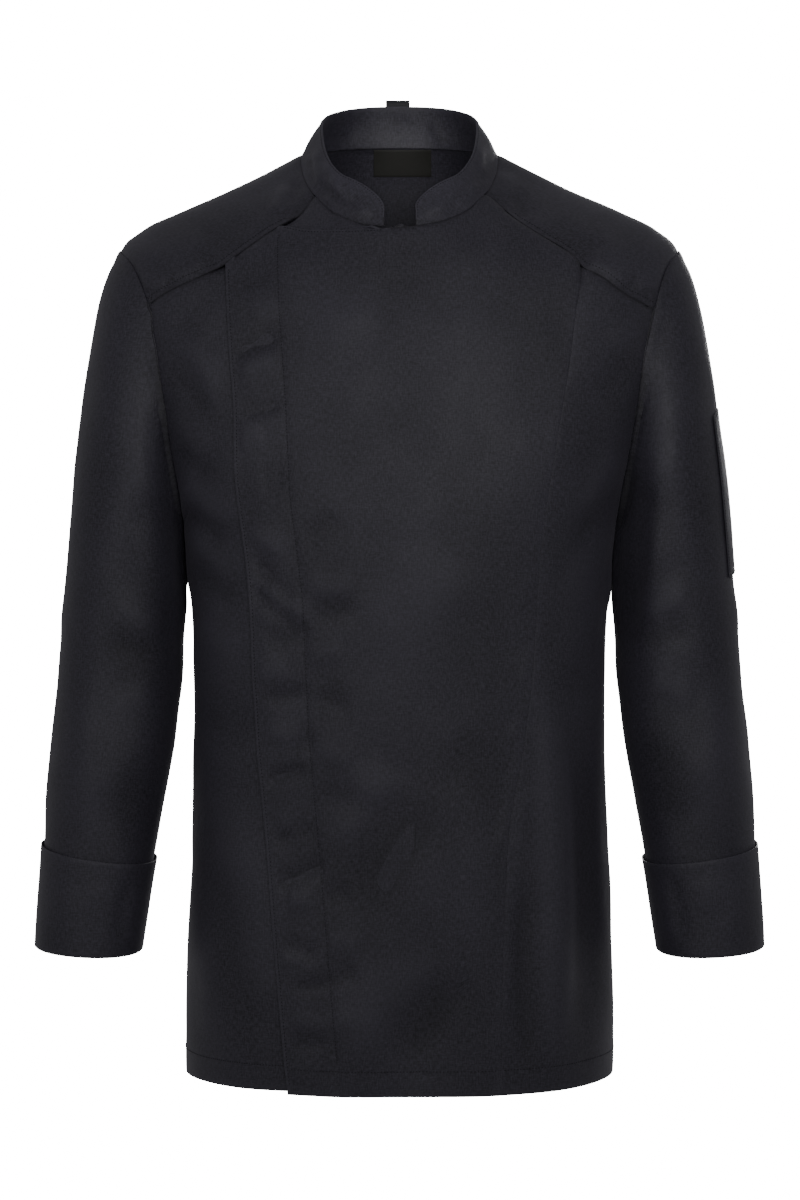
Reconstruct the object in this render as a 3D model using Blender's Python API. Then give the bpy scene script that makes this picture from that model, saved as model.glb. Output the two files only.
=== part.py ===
"""Long-sleeved chef jacket, filled out as if worn, with nobody in it.

Row frame: +X is the wearer's left, the front faces -Y, +Z is up. The origin is the middle of the neck,
level with the high points of the shoulders, where the jacket hangs on its wearer.
Sizes are millimetres; MM turns them into Blender's metres when a mesh is made.

The torso is one surface, a stack of rings from the hem over the shoulders to the neck. Seams are curves
on it, and each sewn piece is the patch between its seams, given the thickness of the cloth.
"""
import math

import bmesh
import bpy
import numpy as np

MM = 0.001
CLOTH = 1.5            # wall of one layer of twill with its turnings
CUFF_CLOTH = 2.0       # the turned-back cuff is doubled
COLLAR_CLOTH = 2.0     # the collar stand is doubled and interfaced
SEAM_GAP = 0.3         # clearance between neighbouring pieces
LAYER = CLOTH + SEAM_GAP
SLEEVE_GAP = 0.45      # how far the sleeve head stands off the armhole edge

# ---------------------------------------------------------------- driving dimensions

# Rings of the torso, hem to neck. half_width is at y = 0; front and back are depths from there; the
# ring's height is given at the front, side and back; square is the superellipse power of its plan and
# bow the power by which its height runs from the side to the front and back.
# columns: half_width, front, back, z_front, z_side, z_back, square, bow
TORSO = np.array([
    (174.5, 126, 119, -751, -744, -747, 2.6, 2.0),     # hem
    (175.0, 127, 120, -695, -690, -692, 2.6, 2.0),
    (173.5, 127, 119, -637, -633, -635, 2.6, 2.0),     # hips
    (170.0, 127, 117, -578, -575, -577, 2.6, 2.0),
    (167.5, 126, 115, -519, -517, -518, 2.6, 2.0),     # waist
    (167.5, 127, 117, -462, -460, -460, 2.6, 2.0),
    (168.5, 128, 121, -407, -405, -405, 2.6, 2.0),
    (171.5, 129, 125, -354, -352, -352, 2.6, 2.0),     # chest
    (177.0, 129, 127, -304, -301, -303, 2.6, 2.0),     # armpit
    (189.0, 127, 126, -258, -253, -257, 2.6, 2.0),
    (204.0, 123, 124, -216, -207, -214, 2.5, 2.0),
    (217.0, 117, 121, -179, -163, -174, 2.5, 1.9),
    (226.0, 110, 116, -148, -120, -136, 2.4, 1.8),
    (228.0, 103, 109, -122, -76, -98, 2.3, 1.6),       # top of the armhole
    (207.0, 98, 101, -104, -57, -66, 2.3, 1.5),
    (176.0, 94, 93, -91, -41, -37, 2.3, 1.35),
    (141.0, 91, 85, -80, -26, -13, 2.3, 1.2),
    (107.0, 88, 77, -71, -9, 4, 2.3, 1.1),
    (80.5, 85, 69, -63, 4, 19, 2.2, 1.04),             # neck
], dtype=float)
HEM = 0.0
NECK = len(TORSO) - 1.0
ARMHOLE_TOP = 13.0
HEM_Z, NECK_Z = TORSO[0][3], TORSO[-1][3]
USUAL_DEPTH = 105.0              # front and back of the torso stand about this far from its middle

# Seam lines as (x, z): x from the middle, z from the shoulder level, as seen square on.
ARMPIT_Z = -303.0
ARMHOLE_FRONT_RIGHT = ((176, -290), (181, -262), (187, -220), (194, -172), (199, -140), (202, -124))
ARMHOLE_YOKE_RIGHT = ((202, -124), (208, -108), (217, -90))
ARMHOLE_FRONT_LEFT = ((177, -290), (182.5, -262), (189, -222), (196, -170), (202, -142), (205, -128))
ARMHOLE_YOKE_LEFT = ((205, -128), (210, -109), (218, -90))
ARMHOLE_YOKE_BACK = ((218, -92), (209, -112), (203, -132))
ARMHOLE_BACK = ((203, -132), (197, -165), (190, -208), (183, -250), (178, -284))
YOKE_BACK_SEAM = ((203, -132), (150, -121), (80, -112), (0, -108))
YOKE_RIGHT = ((-202, -124), (-168, -106), (-139, -93))
YOKE_FLAP = ((-139, -93), (-118, -76), (-97, -61.5))
YOKE_RIGHT_NECK = ((-97, -61.5), (-86, -53), (-77, -47))
FLAP_TOP = ((-97, -61.5), (-66, -66), (-38, -66), (-10, -64.5))
YOKE_LEFT_NECK = ((84, -46), (104, -62), (128, -77), (145, -94))
YOKE_LEFT_SIDE = ((145, -94), (163, -103), (181, -116), (205, -128))
PLACKET = ((-139, -93), (-137, -135), (-132, -200), (-128, -280), (-118, -360), (-113, -470),
           (-104, -570), (-95, -680), (-88, -751))
PRINCESS = ((145, -94), (138, -150), (128, -215), (118, -275), (111, -330), (106, -400), (97, -480),
            (86, -545), (81, -640), (78, -751))
NECK_JOINT_X = 69.0              # where the front yoke seams reach the neck
NECK_BACK_TURN = 135.0           # how far round the neck the facets of the back begin
COLLAR_END_RIGHT_X = -12.5
COLLAR_END_LEFT_X = 13.0
UNDER_HEM_RISE = 4.0             # the under front is cut this much shorter than the flap

# How many facets run along each stretch of seam.
SIDE_COUNT = 15
ARMHOLE_COUNT = 7
YOKE_ARM_COUNT = 4
SIDE_PANEL_COUNT = 7
FLAP_SLANT_COUNT = 3
YOKE_SHORT_COUNT = 2
UNDER_NECK_COUNT = 4
UNDER_FREE_COUNT = 1
LEFT_NECK_COUNT = 4
LEFT_YOKE_COUNT = 5
BACK_COUNT = 20
RISE_COUNT = SIDE_COUNT + ARMHOLE_COUNT
FLAP_COUNT = FLAP_SLANT_COUNT + YOKE_SHORT_COUNT + UNDER_NECK_COUNT + UNDER_FREE_COUNT
LEFT_COUNT = LEFT_NECK_COUNT + LEFT_YOKE_COUNT
LAP_SINK = (0.35, 0.8, 1.0)      # how the right front sinks under the flap, in layers, facet by facet
THROAT_ROWS = 3                  # rows of the little triangle between flap, yoke and collar

# Collar stand: its top ring, like a ring of the torso.
# columns: half_width, front, back, z_front, z_side, z_back, square, bow
COLLAR_TOP = np.array((63.5, 69, 61, -30, 31, 52.5, 2.5, 1.1), dtype=float)
COLLAR_ROWS = 4
COLLAR_ROUND = 14.0              # radius of the rounded front corners
COLLAR_BULGE = 1.2
COLLAR_GAP = 0.48                # between the collar's foot and the neck seam
COLLAR_UPRIGHT = 0.7             # how nearly the front ends stand straight up
COLLAR_UPRIGHT_POWER = 3         # and how quickly that is lost round the neck

# Sleeve rings, armhole to wrist, for the wearer's left. Each ring spans an inner and an outer point
# seen from the front; centre_y and half_depth set it fore and aft, and its front dips below them.
# columns: inner_x, inner_z, outer_x, outer_z, centre_y, half_depth, front_dip, square
SLEEVE = np.array([
    (177.0, -303, 228.0, -76, 4, 74, 0, 2.2),
    (177.5, -307, 237.5, -92, 4, 75, 0, 2.2),
    (177.5, -312, 245.5, -117, 4, 76, 0, 2.2),
    (177.0, -318, 252.0, -150, 3, 76, 0, 2.2),
    (176.5, -327, 257.0, -188, 2, 75, 1, 2.2),
    (175.8, -340, 262.0, -230, 1, 73, 2, 2.2),
    (175.2, -357, 267.0, -274, -1, 70, 3, 2.2),
    (174.3, -380, 271.0, -320, -3, 67, 4, 2.2),
    (175.4, -408, 274.7, -366, -6, 64.2, 5, 2.2),
    (179.0, -440, 277.9, -408, -9, 61.4, 5, 2.2),
    (183.9, -474, 281.0, -448, -12, 59.5, 5, 2.2),
    (189.4, -508, 284.1, -487, -15, 57.6, 5, 2.2),
    (195.0, -542, 287.2, -525, -18, 55.7, 5, 2.2),
    (200.8, -576, 289.7, -564, -21, 53.7, 5, 2.2),
    (206.2, -611, 291.8, -604, -24, 51.6, 5, 2.2),
    (210.9, -643, 293.5, -639, -27, 49.4, 5, 2.2),
], dtype=float)
SLEEVE_AROUND = 22
SLEEVE_STEPS = 18
CREASE_FADE = 3.0                # rings over which the creases come in below the armhole
HEAD_FADE = 5.0                  # rings over which the armhole's shape gives way to the table's
CUFF_DEPTH_ROWS = 2.15           # how many sleeve rings the cuff turns back over
CUFF_ROWS = 3
CUFF_GAP = 0.6                   # between the sleeve and the cuff turned back over it
CUFF_LIP = 2.0                   # the fold under the sleeve's end
CUFF_LIP_ROUND = 0.65            # how far the fold's edges are rounded

# Folds of the worn cloth, as seen square on: a ridge (+) or trough (-) between two points.
# They die away over FOLD_FADE_DEPTH towards the side seams.
# columns: x0, z0, x1, z1, half_width, height
FOLD_FADE_DEPTH = 60.0
FRONT_FOLDS = np.array([
    (-158, -255, -142, -330, 16, -3.5),     # from the armpit into the chest
    (-150, -250, -120, -420, 22, 3.0),
    (160, -250, 148, -345, 16, -3.5),
    (-60, -560, 20, -700, 34, -3.0),        # soft drape over the belly
    (40, -520, 70, -740, 30, 3.0),
    (118, -420, 124, -745, 26, 3.0),
    (-130, -480, -120, -745, 22, 2.5),
    (-20, -640, -40, -751, 24, 2.5),
], dtype=float)
BACK_FOLDS = np.array([
    (-150, -200, -118, -360, 20, -3.5),
    (150, -200, 118, -360, 20, -3.5),
    (-60, -380, -84, -745, 34, 4.0),
    (58, -400, 78, -745, 34, 4.0),
    (0, -330, 4, -745, 30, -3.5),
    (-125, -480, -132, -745, 22, -3.0),
    (126, -470, 134, -745, 22, -3.0),
], dtype=float)
# Folds across the sleeves: ring, angle round the sleeve in degrees (0 outer, 90 front, 180 inner),
# half length in degrees, half width in rings, height. A fold rises one ring every FOLD_SLANT degrees.
FOLD_SLANT = 120.0
SLEEVE_FOLDS = (
    (6.6, 120, 55, 0.55, -3.0),
    (7.8, 150, 60, 0.6, -3.5),
    (9.2, 95, 50, 0.5, -2.5),
    (10.6, 110, 60, 0.5, 2.5),
    (8.4, 250, 50, 0.6, -3.0),
    (10.0, 265, 55, 0.5, 2.5),
    (12.4, 60, 50, 0.6, -2.0),
)

# Pen pocket on the left sleeve, in facets of the sleeve.
POCKET_COLUMNS = (-2, -1, 0, 1, 2)
POCKET_ROWS = (5.25, 6, 7, 8, 8.85)
POCKET_GAP = 0.45

# Neck label, hanging from the neck seam inside the back yoke.
LABEL_MIDDLE = 2.5
LABEL_HALF_WIDTH = 24.5
LABEL_TOP = 18.2
LABEL_BOTTOM = -3.2
LABEL_COLUMNS = 6
LABEL_ROWS = 3
LABEL_CLOTH = 0.8
LABEL_CLEARANCE = 0.6

# Hanging loop: tape sewn to the back of the collar at both ends, slack between them.
# columns: height above the collar's foot, distance from the collar's outer face to the tape's middle
LOOP_PATH = np.array([
    (24.0, 0.95),
    (33.0, 0.95),
    (36.5, 1.5),
    (38.6, 4.2),
    (36.2, 7.4),
    (29.5, 10.0),
    (19.5, 10.2),
    (12.0, 7.0),
    (7.0, 2.4),
    (4.0, 0.95),
    (1.0, 0.95),
])
LOOP_STEPS = 3                   # facets between two rows of the table
LOOP_WIDTH = 20.0
LOOP_CENTRE_X = -1.5
LOOP_CLOTH = 1.2

CHARCOAL = (0.018, 0.020, 0.026, 1.0)
LABEL_BLACK = (0.006, 0.006, 0.007, 1.0)
TWILL_ROUGHNESS = 0.62
SATIN_ROUGHNESS = 0.45


# ---------------------------------------------------------------- curves and surfaces

def spline(rows, place):
    """The row at a fractional place in a table, by a smooth curve through its rows."""
    last = len(rows) - 1
    i = min(max(int(place), 0), last - 1)
    t = place - i
    before, here, there, after = rows[max(i - 1, 0)], rows[i], rows[i + 1], rows[min(i + 2, last)]
    return 0.5 * (2 * here + (there - before) * t
                  + (2 * before - 5 * here + 4 * there - after) * t * t
                  + (3 * here - before - 3 * there + after) * t ** 3)


def ring_point(row, turn):
    """A point of a ring; turn is in degrees, 0 at the front and 90 at the wearer's left."""
    half_width, front, back, z_front, z_side, z_back, square, bow = row
    across, along = math.sin(math.radians(turn)), math.cos(math.radians(turn))
    depth, z_end = (front, z_front) if along >= 0 else (back, z_back)
    reach = (abs(across / half_width) ** square + abs(along / depth) ** square) ** (-1 / square)
    x, y = reach * across, -reach * along
    share = (abs(y) / depth) ** bow
    return np.array((x, y, z_side + (z_end - z_side) * share))


def plain_torso(turn, level):
    return ring_point(spline(TORSO, level), turn)


def facing(surface, turn, level):
    """The outward normal of a surface of (turn, level)."""
    low, high = max(level - 0.02, HEM), min(level + 0.02, NECK)
    round_it = surface(turn + 0.3, level) - surface(turn - 0.3, level)
    up_it = surface(turn, high) - surface(turn, low)
    normal = np.cross(round_it, up_it)
    return normal / np.linalg.norm(normal)


def fold_height(point, folds):
    """How far the folds push the cloth out at a point, seen square on."""
    x, z = point[0], point[2]
    height = 0.0
    for x0, z0, x1, z1, half_width, rise in folds:
        length_squared = (x1 - x0) ** 2 + (z1 - z0) ** 2
        share = min(max(((x - x0) * (x1 - x0) + (z - z0) * (z1 - z0)) / length_squared, 0.0), 1.0)
        away = math.hypot(x - x0 - share * (x1 - x0), z - z0 - share * (z1 - z0))
        height += rise * math.exp(-(away / half_width) ** 2)
    return height


def torso(turn, level):
    """The outer face of the worn cloth."""
    point = plain_torso(turn, level)
    folds = FRONT_FOLDS if point[1] < 0 else BACK_FOLDS
    fade = min(abs(point[1]) / FOLD_FADE_DEPTH, 1.0)
    return point + facing(plain_torso, turn, level) * fold_height(point, folds) * fade


def spot(x, z, back=False):
    """The (turn, level) of the point of the torso seen at (x, z) from the front or the back."""
    turn = (180.0 if back else 0.0) + math.degrees(math.atan2(x, USUAL_DEPTH)) * (-1 if back else 1)
    level = NECK * (z - HEM_Z) / (NECK_Z - HEM_Z)
    for _ in range(60):
        level = min(max(level, HEM), NECK)
        here = plain_torso(turn, level)
        miss = np.array((x - here[0], z - here[2]))
        if np.abs(miss).max() < 0.01:
            break
        step = 0.02 if level < NECK - 0.03 else -0.02
        by_turn = (plain_torso(turn + 0.2, level) - here)[[0, 2]] / 0.2
        by_level = (plain_torso(turn, level + step) - here)[[0, 2]] / step
        move = np.linalg.lstsq(np.column_stack((by_turn, by_level)), miss, rcond=None)[0]
        turn += float(np.clip(move[0], -6, 6))
        level += float(np.clip(move[1], -0.8, 0.8))
    return turn, level


def rim_spot(x, level):
    """The (turn, level) on the front of a ring where it passes x."""
    low, high = -89.0, 89.0
    for _ in range(50):
        middle = (low + high) / 2
        if plain_torso(middle, level)[0] < x:
            low = middle
        else:
            high = middle
    return low, level


def spots(rows, back=False):
    return [spot(x, z, back) for x, z in rows]


def mirrored(rows):
    """The same seam on the other side of the jacket."""
    return [(-turn, level) for turn, level in rows]


def seam(points, count):
    """A smooth curve through (turn, level) points, cut into even lengths on the torso."""
    rows = np.array(points, dtype=float)
    fine = [spline(rows, i / 12) for i in range(12 * (len(rows) - 1) + 1)]
    for place in fine:
        place[1] = min(max(place[1], HEM), NECK)
    places = np.array([plain_torso(*place) for place in fine])
    lengths = np.concatenate(([0.0], np.cumsum(np.linalg.norm(np.diff(places, axis=0), axis=1))))
    wanted = np.linspace(0.0, lengths[-1], count + 1)
    turns = np.interp(wanted, lengths, [place[0] for place in fine])
    levels = np.interp(wanted, lengths, [place[1] for place in fine])
    return np.column_stack((turns, levels))


def joined(*stretches):
    """Stretches of seam end to end, with each shared point once."""
    return np.vstack([stretches[0]] + [stretch[1:] for stretch in stretches[1:]])


def patch(bottom, top, left, right):
    """Fills four seams with rows of points that run evenly between them."""
    columns, rows = len(bottom) - 1, len(left) - 1
    grid = np.zeros((rows + 1, columns + 1, 2))
    for j in range(rows + 1):
        v = j / rows
        for i in range(columns + 1):
            u = i / columns
            corners = ((1 - u) * (1 - v) * bottom[0] + u * (1 - v) * bottom[-1]
                       + (1 - u) * v * top[0] + u * v * top[-1])
            grid[j, i] = (1 - v) * bottom[i] + v * top[i] + (1 - u) * left[j] + u * right[j] - corners
    return grid


def front_patch(bottom, top, left, right):
    """Fills four seams on the front, with rows that run evenly as seen square on."""
    flat = patch(*[np.array([plain_torso(*place)[[0, 2]] for place in edge])
                   for edge in (bottom, top, left, right)])
    grid = patch(bottom, top, left, right)
    for j in range(1, len(left) - 1):
        for i in range(1, len(bottom) - 1):
            grid[j, i] = spot(*flat[j, i])
    return grid


# ---------------------------------------------------------------- cloth with a thickness

def turned_over(face):
    """The same facet seen from behind, with its first and third corners kept, where it is halved."""
    return face[:1] + face[:0:-1]


class Sheet:
    """Cloth made of facets, each corner with an outer and an inner point."""

    def __init__(self):
        self.index = {}
        self.outer = []
        self.inner = []
        self.faces = []

    def corner(self, key, outer, inner):
        if key not in self.index:
            self.index[key] = len(self.outer)
            self.outer.append(np.array(outer, dtype=float))
            self.inner.append(np.array(inner, dtype=float))
        return self.index[key]

    def add_rows(self, numbers, closed=False):
        """Facets between rows of corner numbers; each row runs the same way round."""
        for lower, upper in zip(numbers, numbers[1:]):
            width = len(lower) if closed else len(lower) - 1
            for i in range(width):
                k = (i + 1) % len(lower)
                face = []
                for number in (lower[i], lower[k], upper[k], upper[i]):
                    if number not in face:
                        face.append(number)
                if len(face) > 2:
                    self.faces.append(face)

    def add_torso_patch(self, grid, depth=lambda row, column: 0.0):
        """Facets on the torso, sunk below its outer face by depth(row, column)."""
        numbers = []
        for j, row in enumerate(grid):
            line = []
            for i, (turn, level) in enumerate(row):
                point = torso(turn, level)
                normal = facing(torso, turn, level)
                outer = point - normal * depth(j, i)
                line.append(self.corner((round(turn, 5), round(level, 5)), outer, outer - normal * CLOTH))
            numbers.append(line)
        self.add_rows(numbers)
        return numbers

    def face_out(self):
        """Turns the facets so that their outer side looks away from the inner points."""
        total = 0.0
        for face in self.faces:
            a, b, c = (self.outer[number] for number in face[:3])
            total += float(np.dot(np.cross(b - a, c - a), a - self.inner[face[0]]))
        if total < 0:
            self.faces = [turned_over(face) for face in self.faces]

    def rim(self):
        """The open edges, each as a pair of corners in the order of its facet."""
        edges = {}
        for face in self.faces:
            for a, b in zip(face, face[1:] + face[:1]):
                edges[(a, b)] = edges.get((a, b), 0) + 1
        return [edge for edge in edges if (edge[1], edge[0]) not in edges]

    def draw_in(self, amount):
        """Moves the open edges inwards along the cloth, to leave room at the seams."""
        pulls = {}
        for a, b in self.rim():
            along = self.outer[b] - self.outer[a]
            out = (self.outer[a] - self.inner[a]) + (self.outer[b] - self.inner[b])
            inward = np.cross(out, along)
            inward /= np.linalg.norm(inward)
            pulls.setdefault(a, []).append(inward)
            pulls.setdefault(b, []).append(inward)
        for number, (first, second) in pulls.items():
            shift = (first + second) / max(1.0 + float(np.dot(first, second)), 0.4) * amount
            self.outer[number] += shift
            self.inner[number] += shift

    def build(self, name, material):
        """Makes the object: outer face, inner face and the edges between them."""
        bm = bmesh.new()
        outer = [bm.verts.new(point * MM) for point in self.outer]
        inner = [bm.verts.new(point * MM) for point in self.inner]
        for face in self.faces:
            bm.faces.new([outer[number] for number in face])
            bm.faces.new([inner[number] for number in turned_over(face)])
        rims = [bm.faces.new((outer[b], outer[a], inner[a], inner[b])) for a, b in self.rim()]
        bmesh.ops.triangulate(bm, faces=rims, quad_method='SHORT_EDGE', ngon_method='BEAUTY')
        bmesh.ops.triangulate(bm, faces=bm.faces, quad_method='FIXED', ngon_method='BEAUTY')
        return add_object(name, bm, material)


def grid_normals(points, closed):
    """Outward normals of rows of points, from their neighbours."""
    count = len(points[0])
    normals = []
    for j, row in enumerate(points):
        below, above = points[max(j - 1, 0)], points[min(j + 1, len(points) - 1)]
        line = []
        for i in range(count):
            before = row[(i - 1) % count] if closed else row[max(i - 1, 0)]
            after = row[(i + 1) % count] if closed else row[min(i + 1, count - 1)]
            normal = np.cross(after - before, above[i] - below[i])
            line.append(normal / np.linalg.norm(normal))
        normals.append(line)
    return normals


def cloth_material(name, colour, roughness):
    material = bpy.data.materials.new(name)
    material.use_nodes = True
    shader = material.node_tree.nodes["Principled BSDF"]
    shader.inputs["Base Color"].default_value = colour
    shader.inputs["Roughness"].default_value = roughness
    shader.inputs["Metallic"].default_value = 0.0
    material.diffuse_color = colour
    return material


def add_object(name, bm, material):
    mesh = bpy.data.meshes.new(name)
    bm.to_mesh(mesh)
    bm.free()
    mesh.materials.append(material)
    mesh.shade_smooth()
    mesh.set_sharp_from_angle(angle=math.radians(50))
    item = bpy.data.objects.new(name, mesh)
    bpy.context.scene.collection.objects.link(item)
    return item


# ---------------------------------------------------------------- seams of the torso

def torso_seams():
    """Every seam, as a list of (turn, level) cut into its facets."""
    armpit_level = next(level / 100 for level in range(600, 1000)
                        if plain_torso(90.0, level / 100)[2] > ARMPIT_Z)
    armpit = (90.0, armpit_level)
    top = (90.0, ARMHOLE_TOP)
    s = {}
    s["side_left"] = seam([(90.0, HEM), (90.0, armpit_level * 0.5), armpit], SIDE_COUNT)
    s["arm_yoke_back_left"] = seam([top] + spots(ARMHOLE_YOKE_BACK, back=True), YOKE_ARM_COUNT)
    s["arm_back_left"] = seam(spots(ARMHOLE_BACK, back=True) + [armpit], ARMHOLE_COUNT)
    for name in ("side", "arm_yoke_back", "arm_back"):
        s[name + "_right"] = np.array(mirrored(s[name + "_left"]))
    s["arm_front_left"] = seam([armpit] + spots(ARMHOLE_FRONT_LEFT), ARMHOLE_COUNT)
    s["arm_yoke_front_left"] = seam(spots(ARMHOLE_YOKE_LEFT) + [top], YOKE_ARM_COUNT)
    front_right = seam([armpit] + spots(ARMHOLE_FRONT_RIGHT), ARMHOLE_COUNT)
    yoke_right = seam(spots(ARMHOLE_YOKE_RIGHT) + [top], YOKE_ARM_COUNT)
    s["arm_front_right"] = np.array(mirrored(front_right))
    s["arm_yoke_front_right"] = np.array(mirrored(yoke_right))
    half_back = spots(YOKE_BACK_SEAM, back=True)
    other_half = [(360.0 - turn, level) for turn, level in reversed(half_back[:-1])]
    s["yoke_back"] = seam(half_back + other_half, BACK_COUNT)      # wearer's left to right
    collar_right = rim_spot(COLLAR_END_RIGHT_X, NECK)
    collar_left = rim_spot(COLLAR_END_LEFT_X, NECK)
    joint_right = rim_spot(-NECK_JOINT_X, NECK)
    joint_left = rim_spot(NECK_JOINT_X, NECK)
    s["yoke_right"] = seam(spots(YOKE_RIGHT), SIDE_PANEL_COUNT)
    s["yoke_flap"] = seam(spots(YOKE_FLAP), FLAP_SLANT_COUNT)
    s["yoke_short"] = seam(spots(YOKE_RIGHT_NECK) + [joint_right], YOKE_SHORT_COUNT)
    s["neck_right"] = seam([joint_right, collar_right], UNDER_NECK_COUNT)
    s["neck_free"] = seam([collar_right, collar_left], UNDER_FREE_COUNT)
    s["neck_left"] = seam([collar_left, joint_left], LEFT_NECK_COUNT)
    s["yoke_left_neck"] = seam([joint_left] + spots(YOKE_LEFT_NECK), LEFT_YOKE_COUNT)
    s["yoke_left_side"] = seam(spots(YOKE_LEFT_SIDE), SIDE_PANEL_COUNT)
    s["flap_top"] = seam(spots(FLAP_TOP) + [collar_left], FLAP_COUNT - FLAP_SLANT_COUNT)
    s["placket"] = seam(spots(PLACKET)[::-1], RISE_COUNT)
    s["princess"] = seam(spots(PRINCESS)[::-1], RISE_COUNT)
    s["middle"] = seam([rim_spot(COLLAR_END_LEFT_X, HEM), rim_spot(COLLAR_END_LEFT_X, NECK / 2),
                        collar_left], RISE_COUNT)
    side_right, back_right = (-90.0, NECK), (-NECK_BACK_TURN, NECK)
    side_left, back_left = (-270.0, NECK), (NECK_BACK_TURN - 360.0, NECK)
    s["neck_round"] = joined(seam([joint_right, side_right], YOKE_ARM_COUNT),
                             seam([side_right, back_right], YOKE_ARM_COUNT),
                             seam([back_right, (-180.0, NECK), back_left], BACK_COUNT),
                             seam([back_left, side_left], YOKE_ARM_COUNT),
                             seam([side_left, (joint_left[0] - 360.0, NECK)], YOKE_ARM_COUNT))
    return s


def hem(start, end, count):
    return seam([(start[0], HEM), ((start[0] + end[0]) / 2, HEM), (end[0], HEM)], count)


def shorten_hem(grid, amount, first_share, last_share):
    """Raises a patch's bottom row, by shares of an amount from its first to its last column."""
    columns = grid.shape[1] - 1
    for i in range(columns + 1):
        share = first_share + (last_share - first_share) * i / columns
        lower, upper = plain_torso(*grid[0, i]), plain_torso(*grid[1, i])
        grid[0, i] += (grid[1, i] - grid[0, i]) * share * amount / (upper[2] - lower[2])
    return grid


def left_turns(rows):
    """The same places, with turns counted the long way round the back."""
    return rows - np.array((360.0, 0.0))


# ---------------------------------------------------------------- the pieces

def flap_grid(s):
    bottom = hem(s["placket"][0], s["middle"][0], FLAP_COUNT)
    return front_patch(bottom, joined(s["yoke_flap"], s["flap_top"]), s["placket"], s["middle"])


def front_under(s, material):
    """Wearer's right front: its side panel, the part under the flap, and the triangle at the throat."""
    sheet = Sheet()
    side = patch(hem(s["side_right"][0], s["placket"][0], SIDE_PANEL_COUNT), s["yoke_right"],
                 joined(s["side_right"], s["arm_front_right"]), s["placket"])
    sink = [0.0] * (SIDE_PANEL_COUNT + 1 - len(LAP_SINK)) + [share * LAYER for share in LAP_SINK]
    sheet.add_torso_patch(shorten_hem(side, UNDER_HEM_RISE, 0.0, 1.0), lambda row, column: sink[column])
    under = shorten_hem(flap_grid(s), UNDER_HEM_RISE, 1.0, 1.0)
    sheet.add_torso_patch(under, lambda row, column: LAYER)
    throat_top = joined(s["yoke_short"], s["neck_right"], s["neck_free"])
    ends = [np.repeat(row[None, :], THROAT_ROWS + 1, axis=0) for row in (throat_top[0], throat_top[-1])]
    throat = patch(s["flap_top"], throat_top, ends[0], ends[1])
    sheet.add_torso_patch(throat, lambda row, column: LAYER)
    sheet.face_out()
    sheet.draw_in(SEAM_GAP / 2)
    return sheet.build("front_under", material)


def front_flap(s, material):
    """Overlapping front, from the concealed placket's edge to the seam down the wearer's left."""
    sheet = Sheet()
    sheet.add_torso_patch(flap_grid(s))
    top = joined(s["neck_left"], s["yoke_left_neck"])
    sheet.add_torso_patch(front_patch(hem(s["middle"][0], s["princess"][0], LEFT_COUNT), top,
                                      s["middle"], s["princess"]))
    sheet.face_out()
    sheet.draw_in(SEAM_GAP / 2)
    return sheet.build("front_flap", material)


def front_side_left(s, material):
    sheet = Sheet()
    sheet.add_torso_patch(patch(hem(s["princess"][0], s["side_left"][0], SIDE_PANEL_COUNT),
                                s["yoke_left_side"], s["princess"],
                                joined(s["side_left"], s["arm_front_left"])))
    sheet.face_out()
    sheet.draw_in(SEAM_GAP / 2)
    return sheet.build("front_side_left", material)


def back(s, material):
    left_edge = joined(s["side_left"], s["arm_back_left"][::-1])
    right_edge = joined(s["side_right"], s["arm_back_right"][::-1]) + np.array((360.0, 0.0))
    sheet = Sheet()
    sheet.add_torso_patch(patch(hem(left_edge[0], right_edge[0], BACK_COUNT), s["yoke_back"],
                                left_edge, right_edge))
    sheet.face_out()
    sheet.draw_in(SEAM_GAP / 2)
    return sheet.build("back", material)


def yoke_grid(s):
    """Rows from the armholes and back seam up to the neck, columns from right front to left front."""
    round_back = left_turns(s["yoke_back"][::-1])
    outer = joined(s["arm_yoke_front_right"], s["arm_yoke_back_right"], round_back,
                   left_turns(s["arm_yoke_back_left"][::-1]), left_turns(s["arm_yoke_front_left"][::-1]))
    right_end = joined(s["yoke_right"], s["yoke_flap"], s["yoke_short"])
    left_end = left_turns(joined(s["yoke_left_neck"], s["yoke_left_side"])[::-1])
    return patch(outer, s["neck_round"], right_end, left_end)


def yoke(s, material):
    sheet = Sheet()
    sheet.add_torso_patch(yoke_grid(s))
    sheet.face_out()
    sheet.draw_in(SEAM_GAP / 2)
    return sheet.build("yoke", material)


def collar_line(s):
    """The collar's sewn edge as (turn, depth), from its right front end round the back."""
    right = [(turn, LAYER) for turn, _ in s["neck_right"][::-1]]
    around = s["neck_round"][1:]
    middle = [(turn, LAYER * max(0.0, 1.0 - (i + 1) / YOKE_ARM_COUNT)) for i, (turn, _) in enumerate(around)]
    left = [(turn - 360.0, 0.0) for turn, _ in s["neck_left"][::-1][1:]]
    return right + middle + left


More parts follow.
